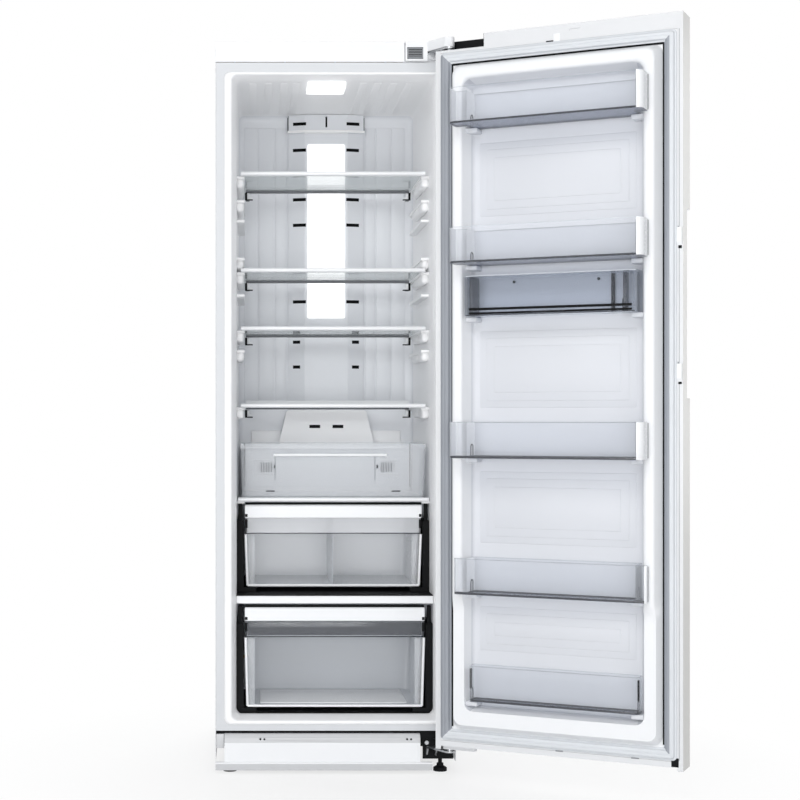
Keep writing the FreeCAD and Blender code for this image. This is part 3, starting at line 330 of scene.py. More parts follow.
# Tint, body colour, share of the body face on and edge on, and roughness of each clear look
CLEAR_LOOKS = {
    "glass": ("shelf_glass", (0.98, 0.988, 0.988), srgb(222, 229, 231), 0.04, 0.8, 0.07),
    "clear": ("clear_plastic", (0.992, 0.995, 1.0), srgb(240, 243, 248), 0.05, 0.8, 0.12),
    "frosted": ("frosted_plastic", PALE, srgb(244, 246, 249), 0.2, 0.85, 0.2),
    "hazy": ("hazy_plastic", PALE, srgb(246, 247, 250), 0.3, 0.85, 0.2),
    # Painted light: besides the divider, this whitens the lower crisper's sides, rear and floor.
    "milky_and_painted_light": ("milky_and_painted_light_plastic", PALE, srgb(240, 243, 247), 0.62, 0.95, 0.25),
    # Painted light: a near white for the upper crisper's sides, rear and floor, the baskets' ends and front
    # corners, the crispers' front edges and the chiller's highlight bar.
    "painted_light_clear": ("painted_light_plastic", PALE, srgb(248, 249, 251), 0.88, 0.97, 0.25),
    # Painted shade: the baskets' floors are their clear plastic, darkened.
    "painted_shade_floor": ("painted_shade_floor_plastic", (0.82, 0.84, 0.885), srgb(150, 155, 168), 0.16, 0.8, 0.14),
    "smoke": ("smoke_plastic", (0.955, 0.965, 0.982), srgb(200, 206, 216), 0.05, 0.85, 0.12),
    # Painted shade: dark smoke behind the lower crisper's lip and at the chiller's rear corners.
    "painted_shade_smoke": ("painted_shade_smoke", (0.5, 0.52, 0.57), srgb(52, 55, 62), 0.6, 0.95, 0.14),
    # Besides dark clear parts and marks, this serves as painted shade for the dark lines along the baskets'
    # floors and front corners and the crispers' lips.
    "edge": ("plastic_edge", (0.3, 0.33, 0.4), srgb(36, 40, 51), 0.9, 0.97, 0.14),
}
for look, settings in CLEAR_LOOKS.items():
    LOOKS[look] = see_through(*settings)

NODE_LOOKS = {
    "enamel": ["outer_panels", "door_skin", "door_top_cap", "door_bottom_cap"],
    "frame": ["front_frame"],
    "back": ["rear_panel", "machine_cover"],
    "zinc": ["base_frame", "machine_bay"],
    "liner": ["shelf_ledges"],
    # The duct cover takes the back wall's painted shade.
    "back_wall_painted_shade": ["air_duct_cover"],
    "trim": ["top_fascia", "kickplate", "upper_hinge_cover", "lower_crisper_cover", "crisper_cover_trim",
             "upper_crisper_handle", "lower_crisper_handle", "grip_insert",
             *numbered("shelf_trim", SHELVES)],
    "foam": ["cabinet_insulation", "door_insulation"],
    "hinge": ["upper_hinge", "lower_hinge", "hinge_screws"],
    # The drawer guides are black as painted shade round the drawers.
    "dark": ["drawer_guides", "switch_housing", "roller_left", "roller_right", "foot_left", "foot_right",
             "fan_motor", "fan_rotor", "hinge_bushes"],
    "grey": ["switch_plunger"],
    "black": ["compressor"],
    "coil": ["evaporator"],
    "lamp": ["lamp_lenses"],
    "glass": ["crisper_cover_glass", *numbered("shelf_glass", SHELVES)],
    "frosted": ["chiller_drawer"],
    "milky_and_painted_light": ["upper_crisper_divider"],
    "clear": ["upper_crisper_box", "lower_crisper_box", *numbered("door_basket", BASKETS)],
    "smoke": ["dairy_box", "dairy_flap"],
}
# How far sharp edges are rounded, and on which nodes
ROUNDED = {
    0.35: ["door_skin"],
    0.4: ["outer_panels"],
    0.5: ["upper_hinge", "lower_hinge"],
    0.6: ["dairy_box", "dairy_flap", *numbered("door_basket", BASKETS)],
    0.7: ["chiller_drawer", "upper_crisper_box", "lower_crisper_box"],
    0.8: ["top_fascia", "kickplate", "door_top_cap", "door_bottom_cap", "foot_left", "foot_right",
          "lamp_lenses"],
    0.9: ["air_duct_cover", "upper_hinge_cover"],
    1.0: ["grip_insert", "drawer_guides", "roller_left", "roller_right"],
    1.2: ["front_frame", "crisper_cover_trim", "switch_plunger", *numbered("shelf_trim", SHELVES)],
    1.4: ["lower_crisper_cover"],
    1.5: ["upper_crisper_handle", "lower_crisper_handle"],
    2.2: ["shelf_ledges"],
    3.0: ["compressor"],
}
EDGE_WIDTHS = {name: width for width, names in ROUNDED.items() for name in names}
WELD_REACH = 0.00001
SHARP_EDGE_DEG = 38


def soften_edges(obj, width):
    weld = obj.modifiers.new("weld", "WELD")
    weld.merge_threshold = WELD_REACH
    bevel = obj.modifiers.new("round", "BEVEL")
    bevel.width = width * MM
    bevel.segments = 3
    bevel.limit_method = "ANGLE"
    bevel.angle_limit = math.radians(SHARP_EDGE_DEG)
    bevel.harden_normals = True


for look, names in NODE_LOOKS.items():
    for name in names:
        node = NODES[name]
        node.data.materials.clear()
        node.data.materials.append(LOOKS[look])
        if name in EDGE_WIDTHS:
            soften_edges(node, EDGE_WIDTHS[name])


# Other looks for some faces of a node, by where they lie and which way they face
FACING = 0.9
MOSTLY = 0.8
LEANING = 0.6
DOWNWARD = -0.5
CORNER_TURN = (-0.97, -0.2)
CORNER_REACH = 22
FREE_END_REACH = 5
CRISPER_FRONT_DEPTH = 40
HAZE_DEPTH = 20
TRAY_DEPTH = 6
RAIL_DEPTH = 40
RAIL_H = 4.2
HINGE_PLATE_Y = -6
KICK_TURN = 0.2
KICK_HEAD = 22.5
KICK_FOOT = 16
DOME_LOW = COVER_TOP + 119
DOME_HIGH = COVER_TOP + 226
DOME_FRONT = ROOM_BACK - 30
HEAD_LIP_LOW = ROOM_HIGH - 52
HEAD_LIP_HIGH = ROOM_HIGH - 43.5
HEAD_LIP_FRONT = ROOM_BACK - 26


def second_look(mesh, look, chosen):
    """Gives the faces that pass a test, by their centre in millimetres and their normal, another look."""
    mesh.materials.append(LOOKS[look])
    index = len(mesh.materials) - 1
    for face in mesh.polygons:
        if chosen(face.center / MM, face.normal):
            face.material_index = index


def crisper_faces():
    """Painted light: paler side, rear and floor faces for both crispers, and a haze on the upper one's
    front.
    """
    for crisper, look in (("upper_crisper", "painted_light_clear"), ("lower_crisper", "milky_and_painted_light")):
        front = CRISPERS[crisper]["front"]
        second_look(NODES[crisper + "_box"].data, look,
                    lambda c, n: abs(n.y) < LEANING or c.y > front + CRISPER_FRONT_DEPTH)
    front = CRISPERS["upper_crisper"]["front"]
    second_look(NODES["upper_crisper_box"].data, "hazy",
                lambda c, n: n.y < -LEANING and c.y < front + HAZE_DEPTH)


def basket_faces():
    """Darker floors as painted shade and paler ends as painted light for the baskets."""
    for number, floor in zip(BASKETS, BASKET_FLOORS):
        mesh = NODES["door_basket_%d" % number].data
        # Painted shade on the floors.
        second_look(mesh, "painted_shade_floor", lambda c, n: abs(n.z) > FACING and c.z < floor + TRAY_DEPTH)
        # Painted light on the end walls and front corners.
        second_look(mesh, "painted_light_clear",
                    lambda c, n: (abs(shut_facing(n)) > FACING and number != LOWEST_BASKET
                                  and abs(shut_x(c) + BASKET_REAR_HALF) > FREE_END_REACH))
        second_look(mesh, "painted_light_clear",
                    lambda c, n: (CORNER_TURN[0] < shut_facing(n) < CORNER_TURN[1]
                                  and shut_x(c) < CORNER_REACH - BASKET_FRONT_HALF))


def shelf_faces():
    """Painted shade: grey rails under the rear of the shelves' trims."""
    for number in SHELVES:
        trim = "shelf_trim_%d" % number
        rear = node_box(trim)[1][1] - RAIL_DEPTH
        glass = heights("shelf_glass_%d" % number)[0]
        # Painted shade on the downward faces and a band under the glass at the trim's rear.
        second_look(NODES[trim].data, "painted_shade_grey",
                    lambda c, n: c.y > rear and (n.z < DOWNWARD or glass - RAIL_H < c.z < glass))


def other_faces():
    """Painted shade on the door's free edge, the kickplate and the base's front; a dark plate on the lower
    hinge; painted light on the duct cover's dome and lip.
    """
    # Painted shade on the free edge faces of the door skin and grip insert.
    for name in ("door_skin", "grip_insert"):
        second_look(NODES[name].data, "door_edge_painted_shade", lambda c, n: shut_facing(n) < -MOSTLY)
    second_look(NODES["lower_hinge"].data, "dark", lambda c, n: n.y < -FACING and c.y > HINGE_PLATE_Y)
    # Painted shade on the kickplate's top and foot.
    kick_head = KICK_HIGH - KICK_HEAD
    kick_foot = KICK_LOW + KICK_FOOT
    second_look(NODES["kickplate"].data, "kick_painted_shade",
                lambda c, n: n.y < KICK_TURN and (c.z > kick_head or c.z < kick_foot))
    # Painted shadow: the base frame's front faces are dark for the gap between the door frame and the
    # kickplate.
    second_look(NODES["base_frame"].data, "dark", lambda c, n: n.y < -FACING)
    duct = NODES["air_duct_cover"].data
    # Painted light: the duct cover's dome takes the paler liner white.
    second_look(duct, "liner", lambda c, n: DOME_LOW < c.z < DOME_HIGH and c.y < DOME_FRONT)
    # Painted highlight on the lip of the duct cover's head.
    second_look(duct, "painted_highlight", lambda c, n: HEAD_LIP_LOW < c.z < HEAD_LIP_HIGH and c.y < HEAD_LIP_FRONT)


crisper_faces()
basket_faces()
shelf_faces()
other_faces()

# Mesh helpers
CORNER_STEPS = 6
RUN_STEPS = (10, 90, 10, 90)
CURVE_STEPS = 5
BEAD_SIDES = 8
LEAST_CORNER = 0.5
MOST_BEVEL = 0.48
MOST_REACH = 0.49


def piece(name, bm, look, body, door=False, stands_for=(), sharp_deg=35.0):
    """A named piece of the scene from a mesh drawn in millimetres, on its body."""
    bmesh.ops.recalc_face_normals(bm, faces=bm.faces)
    mesh = bpy.data.meshes.new(name)
    bm.to_mesh(mesh)
    bm.free()
    mesh.transform(Matrix.Scale(MM, 4))
    if door:
        mesh.transform(SWING)
    for face in mesh.polygons:
        face.use_smooth = True
    mesh.set_sharp_from_angle(angle=math.radians(sharp_deg))
    mesh.materials.append(LOOKS[look])
    obj = bpy.data.objects.new(name, mesh)
    scene.collection.objects.link(obj)
    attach(obj, body)
    if stands_for:
        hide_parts(*stands_for)
    return obj


def both_sides(near, far):
    """Limits in x of two stretches that mirror each other, between two distances from the middle."""
    return [tuple(sorted((side * near, side * far))) for side in SIDES]


def add_block(bm, low, high, r, segments=3):
    """A block with rounded edges between two corners."""
    made = bmesh.ops.create_cube(bm, size=1.0)
    size = [high[i] - low[i] for i in range(3)]
    middle = [(high[i] + low[i]) / 2.0 for i in range(3)]
    for v in made["verts"]:
        v.co = Vector([middle[i] + v.co[i] * size[i] for i in range(3)])
    edges = list(dict.fromkeys(e for v in made["verts"] for e in v.link_edges))
    if r > 0:
        bmesh.ops.bevel(bm, geom=edges, offset=min(r, min(size) * MOST_BEVEL), segments=segments,
                        profile=0.5, affect="EDGES")


def add_rod(bm, start, end, r, sides):
    """A straight round rod between two points."""
    start = Vector(start)
    end = Vector(end)
    turn = (end - start).normalized().to_track_quat("Z", "Y").to_matrix().to_4x4()
    bmesh.ops.create_cone(bm, cap_ends=True, segments=sides, radius1=r, radius2=r,
                          depth=(end - start).length, matrix=Matrix.Translation((start + end) / 2) @ turn)


def blocks(name, look, body, boxes, r, door=False):
    """A piece made of blocks alone, each given by its two corners."""
    bm = bmesh.new()
    for low, high in boxes:
        add_block(bm, low, high, r)
    return piece(name, bm, look, body, door=door)


def rods(name, look, body, lines, r, sides, door=False):
    """A piece made of straight rods alone, each given by its two ends."""
    bm = bmesh.new()
    for start, end in lines:
        add_rod(bm, start, end, r, sides)
    return piece(name, bm, look, body, door=door)


def rect_loop(y, half, low, high, r):
    """Points round a rectangle with rounded corners that faces the front, anticlockwise from lower left."""
    r = max(r, LEAST_CORNER)
    points = []
    corners = [(half - r, low + r, -90), (half - r, high - r, 0),
               (-half + r, high - r, 90), (-half + r, low + r, 180)]
    for i in range(4):
        cx, cz, first = corners[i]
        nx, nz, after = corners[(i + 1) % 4]
        for k in range(CORNER_STEPS + 1):
            a = math.radians(first + 90.0 * k / CORNER_STEPS)
            points.append(Vector((cx + r * math.cos(a), y, cz + r * math.sin(a))))
        last = points[-1]
        a = math.radians(after)
        following = Vector((nx + r * math.cos(a), y, nz + r * math.sin(a)))
        count = RUN_STEPS[(i + 1) % 4]
        for k in range(1, count):
            points.append(last.lerp(following, k / count))
    return points


def bend(start, middle, end):
    """Points on a curve between two ends that leans towards a middle point."""
    out = []
    for step in range(CURVE_STEPS + 1):
        t = step / CURVE_STEPS
        out.append([(1 - t) ** 2 * a + 2 * t * (1 - t) * m + t * t * b
                    for a, m, b in zip(start, middle, end)])
    return out


def soften(chain, reach):
    """Rounds a chain of loop settings (y, half, low, high, r) at the points that have a reach."""
    out = []
    for i, p in enumerate(chain):
        if reach[i] <= 0 or i in (0, len(chain) - 1):
            out.append(p)
            continue
        ends = []
        for q in (chain[i - 1], chain[i + 1]):
            length = math.hypot(q[0] - p[0], q[1] - p[1])
            t = min(reach[i] / length, MOST_REACH)
            ends.append([a + (b - a) * t for a, b in zip(p, q)])
        out.extend(bend(ends[0], p, ends[1]))
    return out


def skin(bm, loops, close_first=False, close_last=False, ring=False):
    """Faces between each loop of points and the next."""
    rows = [[bm.verts.new(p) for p in loop] for loop in loops]
    pairs = list(zip(rows[:-1], rows[1:]))
    if ring:
        pairs.append((rows[-1], rows[0]))
    count = len(rows[0])
    for a, b in pairs:
        for i in range(count):
            j = (i + 1) % count
            bm.faces.new((a[i], a[j], b[j], b[i]))
    if close_first:
        bm.faces.new(rows[0])
    if close_last:
        bm.faces.new(rows[-1])


def outline(points, radii):
    """A closed plan line through points, with rounded corners."""
    out = []
    count = len(points)
    for i in range(count):
        p = Vector(points[i])
        if radii[i] <= 0:
            out.append(p)
            continue
        a = (Vector(points[i - 1]) - p).normalized()
        b = (Vector(points[(i + 1) % count]) - p).normalized()
        reach = radii[i] / math.tan(a.angle(b) / 2.0)
        out.extend(Vector(q) for q in bend(p + a * reach, p, p + b * reach))
    return out


def add_bead(bm, line, z, r):
    """A closed round bead along a plan line."""
    count = len(line)
    loops = []
    for i in range(count):
        ahead = (line[(i + 1) % count] - line[i - 1]).normalized()
        loop = []
        for k in range(BEAD_SIDES):
            a = 2 * math.pi * k / BEAD_SIDES
            out = r * math.cos(a)
            loop.append((line[i].x + ahead.y * out, line[i].y - ahead.x * out, z + r * math.sin(a)))
        loops.append(loop)
    skin(bm, loops, ring=True)


# Cabinet liner: flange, rounded mouth, walls, compressor step and rounded back
def cabinet_liner():
    corner = 14
    throat = 45
    step_foot = BAY_FRONT - 50
    step_head = BAY_FRONT - 30
    thickness = 2.4
    back_zone = ROOM_BACK - 12
    # Each loop's y, half width, low, high and corner radius; the walls draw in a little to the back
    chain = [(0.0, LAND_HALF, LAND_LOW, LAND_HIGH, corner),
             (0.0, MOUTH_HALF, MOUTH_LOW, MOUTH_HIGH, corner),
             (throat, ROOM_HALF, ROOM_LOW, ROOM_HIGH, corner),
             (step_foot, ROOM_HALF - 1.9, ROOM_LOW, ROOM_HIGH, corner),
             (step_head, ROOM_HALF - 2.0, STEP_TOP, ROOM_HIGH, corner),
             (ROOM_BACK, ROOM_HALF - 3, STEP_TOP, ROOM_HIGH, corner),
             (ROOM_BACK, ROOM_HALF - 46, STEP_TOP + 42, ROOM_HIGH - 47, 10)]
    reach = [0, 7, 14, 10, 10, 16, 0]
    bm = bmesh.new()
    skin(bm, [rect_loop(*settings) for settings in soften(chain, reach)], close_last=True)
    obj = piece("cabinet_liner", bm, "liner", "cabinet", stands_for=("inner_liner",), sharp_deg=50)
    # Painted shade: the back of the liner takes the greyer back wall white.
    second_look(obj.data, "back_wall_painted_shade", lambda c, n: c.y > back_zone)
    shell = obj.modifiers.new("wall", "SOLIDIFY")
    shell.thickness = thickness * MM
    shell.offset = 1.0


def wall_relief():
    """Raised strips on the back wall, fore-and-aft ribs on the ceiling and two screw plates by the duct."""
    sunk = ROOM_BACK + 1
    strips = ((-228, -191), (-187, -144), (-140, -110), (110, 137), (141, 180), (184, 219))
    strip_front = ROOM_BACK - 2.2
    strip_low = COVER_TOP + 234
    strip_high = ROOM_HIGH - 33
    # The strips take the back wall's painted shade.
    blocks("wall_relief", "back_wall_painted_shade", "cabinet",
           [((x0, strip_front, strip_low), (x1, sunk, strip_high)) for x0, x1 in strips], r=2.0)
    ribs = (-205, -165, -125, -95, 75, 110, 150, 190)
    rib_half = 9
    rib_front = 70
    rib_back = ROOM_BACK - 40
    rib_low = ROOM_HIGH - 0.7
    rib_high = ROOM_HIGH + 1.5
    blocks("ceiling_ribs", "liner", "cabinet",
           [((x - rib_half, rib_front, rib_low), (x + rib_half, rib_back, rib_high)) for x in ribs], r=0.6)
    plates = (-166, 166)
    plate_half = 42
    plate_low = COVER_TOP + 120
    plate_high = COVER_TOP + 168
    screw_z = COVER_TOP + 144
    bm = bmesh.new()
    # Both discs come before the bevelled plates, so that the mesh has the same order each run
    for x in plates:
        add_rod(bm, (x, ROOM_BACK - 7, screw_z), (x, ROOM_BACK - 3, screw_z), r=10, sides=28)
    for x in plates:
        add_block(bm, (x - plate_half, ROOM_BACK - 5, plate_low), (x + plate_half, sunk, plate_high), r=4.0)
    piece("wall_plates", bm, "liner", "cabinet")


def duct_trim():
    """A white nose and louvre frames on the coil cover, dark sheets of painted shade inside the duct and a
    painted shadow in the gap round the duct's head.
    """
    front = ROOM_BACK - 54
    nose_half = 148
    nose_y = front + 1.5
    nose_z = COVER_TOP + 118.5
    frame_lows = (COVER_TOP + 46, COVER_TOP + 84)
    frame_h = 6
    bm = bmesh.new()
    add_rod(bm, (-nose_half, nose_y, nose_z), (nose_half, nose_y, nose_z), r=3.2, sides=16)
    for x0, x1 in both_sides(146, 196):
        for low in frame_lows:
            add_block(bm, (x0, front - 1.6, low), (x1, front + 1, low + frame_h), r=1.2)
    piece("coil_cover_nose", bm, "trim", "cabinet")
    dome = COVER_TOP + 225
    head = ROOM_HIGH - 5
    # Painted shade: dark sheets inside the duct.
    duct_shade_sheet_t = 1.5
    duct_shade_sheets = ((100, ROOM_BACK - 4.5, dome - 16, head), (97, ROOM_BACK - 17, ROOM_HIGH - 41, head),
               (98, ROOM_BACK - 32, dome - 80, dome - 8))
    blocks("duct_painted_shade", "dark", "cabinet",
           [((-half, y, low), (half, y + duct_shade_sheet_t, high)) for half, y, low, high in duct_shade_sheets], r=0)
    # Painted shadow: a grey strip in the gap round the duct's head.
    gap_half = 105
    gap_y = ROOM_BACK - 4
    bm = bmesh.new()
    add_block(bm, (-gap_half, ROOM_BACK - 16, ROOM_HIGH - 4.5), (gap_half, gap_y, ROOM_HIGH - 2), r=0.5)
    for x0, x1 in both_sides(104, 107.5):
        add_block(bm, (x0, gap_y, ROOM_HIGH - 44), (x1, ROOM_BACK + 0.5, ROOM_HIGH - 3), r=0.6)
    piece("duct_head_painted_shadow", bm, "painted_shade_grey", "cabinet")


def ledge_pads():
    """Rounded pads that swell under each shelf ledge on both walls, apart from two levels without them."""
    ledge_t = 12
    level_reach = 14
    bare_shares = (0.678, 0.493)
    # Front, back and depth below the ledge of the two pads in a row
    pads = ((146, 250, 30), (256, 400, 27))
    ledges = NODES["shelf_ledges"].data
    tops = sorted({round(v.co.z / MM) for v in ledges.vertices if v.co.z / MM > COVER_TOP})
    heads = [top for top in tops if not any(0 < other - top < ledge_t for other in tops)]
    bare = [COVER_TOP + share * (ROOM_HIGH - COVER_TOP) for share in bare_shares]
    heads = [top for top in heads if min(abs(top - z) for z in bare) > level_reach]
    bm = bmesh.new()
    for top in heads:
        for x0, x1 in both_sides(ROOM_HALF - 18, ROOM_HALF + 1):
            for front, back, depth in pads:
                add_block(bm, (x0, front, top - depth), (x1, back, top - 1.0), r=9.0, segments=4)
    piece("ledge_pads", bm, "liner", "cabinet")


cabinet_liner()
wall_relief()
duct_trim()
ledge_pads()


# Door liner with its rim, sunk field, lugs and pads
def door_inner():
    face_half = HALF - FLANGE_W
    face_low = DOOR_LOW + 22
    face_high = DOOR_HIGH - 39
    face_r = 2
    blend_low = RIM_STEP_Z - 14
    blend_h = 28.0
    # Each loop's y, half width, low, high and corner radius
    chain = [(DOOR_FACE - 20, face_half, face_low, face_high, face_r),
             (DOOR_FACE, face_half, face_low, face_high, face_r),
             (DOOR_FACE, MOUTH_HALF - 6, MOUTH_LOW + 1, MOUTH_HIGH + 1, 22),
             (RIM_CREST, CREST_HALF, CREST_LOW, CREST_HIGH, 20),
             (RIM_CREST, FIELD_HALF + 11, FIELD_LOW - 12, FIELD_HIGH + 12, 22),
             (RECESS_FLOOR, FIELD_HALF, FIELD_LOW, FIELD_HIGH, 16),
             (RECESS_FLOOR, FIELD_HALF - 26, FIELD_LOW + 26, FIELD_HIGH - 33, 8)]
    reach = [0, 0, 3, 8, 8, 9, 0]
    loops = [rect_loop(*settings) for settings in soften(chain, reach)]
    # The rim is lower beside the two lowest baskets
    for loop in loops:
        for point in loop:
            t = min(max((point.z - blend_low) / blend_h, 0.0), 1.0)
            crest = RIM_CREST_LOW + (RIM_CREST - RIM_CREST_LOW) * t * t * (3 - 2 * t)
            point.y = min(point.y, crest)
    bm = bmesh.new()
    skin(bm, loops, close_first=True, close_last=True)
    inner = piece("door_inner", bm, "door_liner", "door", door=True, stands_for=("door_liner",),
                  sharp_deg=60)
    # Painted shade: the rim takes the paler trim white while the sunk field keeps the darker door liner
    # colour.
    rim_half = FIELD_HALF + 4
    rim_low = FIELD_LOW - 5
    rim_high = FIELD_HIGH + 5
    second_look(inner.data, "trim",
                lambda c, n: abs(shut_x(c)) > rim_half or c.z < rim_low or c.z > rim_high)


def door_supports():
    """Lugs under the baskets, stepped pads in the field between them and a peg at the rim's step."""
    lug_h = 12
    lug_front = 12
    lug_play = 0.3
    blocks("door_lugs", "door_liner", "door",
           [((x0, RECESS_FLOOR - 2, floor - lug_h), (x1, lug_front, floor - lug_play))
            for floor in BASKET_FLOORS + [DAIRY_LOW]
            for x0, x1 in both_sides(FIELD_HALF - 22, FIELD_HALF + 7)], r=3.0, door=True)
    pad_half = 188
    margin = 34
    # Height and inset of each step
    steps = ((1.0, 0), (1.9, 16), (2.8, 36))
    tops = [BASKET_FLOORS[0], DAIRY_LOW, BASKET_FLOORS[2], BASKET_FLOORS[3]]
    boxes = []
    for top, foot in zip(tops, BASKET_FLOORS[1:]):
        low = foot + BASKET_H + margin
        high = top - margin
        for step, inset in steps:
            half = pad_half - inset
            boxes.append(((-half, RECESS_FLOOR - 1, low + inset), (half, RECESS_FLOOR + step, high - inset)))
    blocks("door_pads", "door_liner", "door", boxes, r=1.5, door=True)
    blocks("door_step_peg", "door_liner", "door",
           [((-238, RIM_CREST_LOW - 3, RIM_STEP_Z - 5), (-222, RIM_CREST_LOW + 5, RIM_STEP_Z + 3))],
           r=2.5, door=True)


def gasket():
    """The seal's bellows round the door, paler on some runs as painted light, and the dark root line inside
    it as painted shadow.
    """
    # Distance in from the outer edge, and y
    profile = [(0, -12), (0, -9.5), (1, -8.5), (4, -8.3), (4.2, -7), (5, -6), (5.3, -3), (6.5, -1.6),
               (9, -1.05), (13, -1.2), (13.6, -2.2), (14.4, -2.2), (15, -1.2), (19, -1.05), (21.5, -1.6),
               (22.7, -3), (23, -6), (23.8, -7), (24, -8.3), (27, -8.5), (28, -9.5), (28, -12)]
    corner = 10
    loops = [rect_loop(y, GASKET_HALF - inset, GASKET_LOW + inset, GASKET_HIGH - inset,
                       corner - inset * 0.2) for inset, y in profile]
    bm = bmesh.new()
    skin(bm, loops, ring=True)
    seal = piece("door_seal", bm, "seal", "door", door=True, stands_for=("door_gasket",), sharp_deg=50)
    # Painted light on the outer half of the free side and on the top and bottom runs.
    outer_half = 15 - GASKET_HALF
    second_look(seal.data, "seal_painted_light",
                lambda c, n: (shut_x(c) < outer_half
                              or min(GASKET_HIGH - c.z, c.z - GASKET_LOW) < GASKET_HALF - abs(shut_x(c))))
    # Painted shadow: a dark line along the seal's inner root.
    inner = GASKET_HALF - 28.2
    top = GASKET_HIGH - 28.2
    root_y = -12.4
    bm = bmesh.new()
    add_block(bm, (-inner, root_y, top - 4.2), (inner, -8.8, top), r=0.6)
    for x0, x1 in both_sides(inner, inner - 3.4):
        add_block(bm, (x0, root_y, GASKET_LOW + 34), (x1, -9.4, top), r=0.6)
    piece("seal_root_painted_shadow", bm, "dark", "door", door=True)


def door_ends():
    """The dark lining of the hinge pocket, and slots, tabs, lines and marks at the door's edges."""
    left = AXIS_X - 100.5
    right = AXIS_X - 13.0
    floor = CAB_TOP - 40.0
    near = AXIS_Y - 17.0
    pocket_face = DOOR_FACE - 0.5
    pocket_top = DOOR_HIGH - 0.5
    tab_x = 7.0 - HALF
    tab_feet = (1270.0, 962.0)
    tab_h = 44
    bm = bmesh.new()
    add_block(bm, (left, near, floor - 0.5), (right, pocket_face, floor + 1.0), r=0.3)
    add_block(bm, (left - 0.5, near, floor), (left + 1.0, pocket_face, pocket_top), r=0.3)
    add_block(bm, (left, near - 0.5, floor), (HALF - 2, near + 1.0, pocket_top), r=0.3)
    add_block(bm, (3, DOOR_FACE - 1.5, DOOR_HIGH - 39.5), (22, DOOR_FACE + 0.8, DOOR_HIGH - 35.5), r=0.8)
    for z in tab_feet:
        add_block(bm, (tab_x - 4, DOOR_FACE - 1.5, z - 7), (tab_x + 4, DOOR_FACE + 1.4, z + 1), r=1.0)
    add_block(bm, (-HALF + 10, DOOR_FACE - 6, DOOR_LOW + 9), (-HALF + 27, DOOR_FACE + 0.5, DOOR_LOW + 30),
              r=1.0)
    piece("door_end_slots", bm, "dark", "door", door=True)
    sunk = DOOR_FACE - 1
    blocks("door_end_tab", "trim", "door",
           [((-12, sunk, DOOR_HIGH - 42), (4, DOOR_FACE + 1.2, DOOR_HIGH - 20))], r=0.8, door=True)
    bm = bmesh.new()
    for z in tab_feet:
        add_block(bm, (tab_x + 3, sunk, z), (tab_x + 5.4, DOOR_FACE + 1.2, z + tab_h), r=0.6)
    add_block(bm, (tab_x + 1.4, sunk, GASKET_LOW), (tab_x + 2.6, DOOR_FACE + 0.5, GASKET_HIGH), r=0.3)
    piece("door_edge_lines", bm, "grey", "door", door=True)
    mark_half = 9
    blocks("door_end_marks", "grey", "door",
           [((x - mark_half, sunk, DOOR_LOW + 20), (x + mark_half, DOOR_FACE + 0.8, DOOR_LOW + 23))
            for x in (-10, -188)], r=0.6, door=True)


door_inner()
door_supports()
gasket()
door_ends()


# Baskets: a bead round the rim, a dark edge round the floor and dark corner lines as painted shade, hoops
# and clips
def basket_line(front, wide, inset):
    """The plan line of a basket, drawn in by an inset. Wide baskets have wings in front of the rim."""
    rear = BASKET_REAR + inset
    half = BASKET_REAR_HALF - inset
    far = front - inset
    wing = BASKET_FRONT_HALF - inset
    shoulder = RIM_CREST + 4 + inset
    if not wide:
        points = [(-half, rear), (half, rear), (half, far), (-half, far)]
        return outline(points, [5, 5, 10, 10])
    corner = 6 if front - shoulder < 25 else 16
    points = [(-half, rear), (half, rear), (half, shoulder), (wing, shoulder), (wing, far), (-wing, far),
              (-wing, shoulder), (-half, shoulder)]
    return outline(points, [5, 5, 0, 4, corner, corner, 4, 0])


def add_arch(bm, x, y, low, half, height, r):
    """A round-headed hoop of thin bar that lies against an end wall."""
    steps = 8
    spring = low + height - half
    line = [Vector((x, y - half, low)), Vector((x, y - half, spring))]
    for k in range(1, steps):
        a = math.pi - math.pi * k / steps
        line.append(Vector((x, y + half * math.cos(a), spring + half * math.sin(a))))
    line.append(Vector((x, y + half, spring)))
    line.append(Vector((x, y + half, low)))
    for start, end in zip(line[:-1], line[1:]):
        add_rod(bm, start, end, r, sides=8)


def basket_trim(number, floor, front):
    rim_r = 1.0
    foot_r = 2.5
    hoop_x = BASKET_REAR_HALF - 3.0
    wide = number != LOWEST_BASKET
    body = "basket_%d" % number
    bm = bmesh.new()
    add_bead(bm, basket_line(front, wide, rim_r), floor + BASKET_H - 0.7, rim_r)
    piece(body + "_rim", bm, "clear", body, door=True)
    # Painted shade: a dark bead round the floor for the clear floor seen on edge.
    bm = bmesh.new()
    add_bead(bm, basket_line(front, wide, foot_r), floor + foot_r, foot_r)
    piece(body + "_foot", bm, "edge", body, door=True)
    bm = bmesh.new()
    for side in SIDES:
        add_arch(bm, side * hoop_x, y=2, low=floor + 4, half=7.5, height=28, r=1.1)
    piece(body + "_pegs", bm, "edge", body, door=True)
    if wide:
        # Painted shade: a dark line down the front corner.
        corner = (0.2 - BASKET_FRONT_HALF, RIM_CREST + 6)
        rods(body + "_corner", "edge", body, [((*corner, floor + 3), (*corner, floor + BASKET_H - 2))],
             r=1.1, sides=10, door=True)
    else:
        blocks(body + "_clips", "dark", body,
               [((x0, 2, floor + 30), (x1, 12, floor + 78))
                for x0, x1 in both_sides(BASKET_REAR_HALF - 0.4, BASKET_REAR_HALF - 4.0)], r=1.4, door=True)


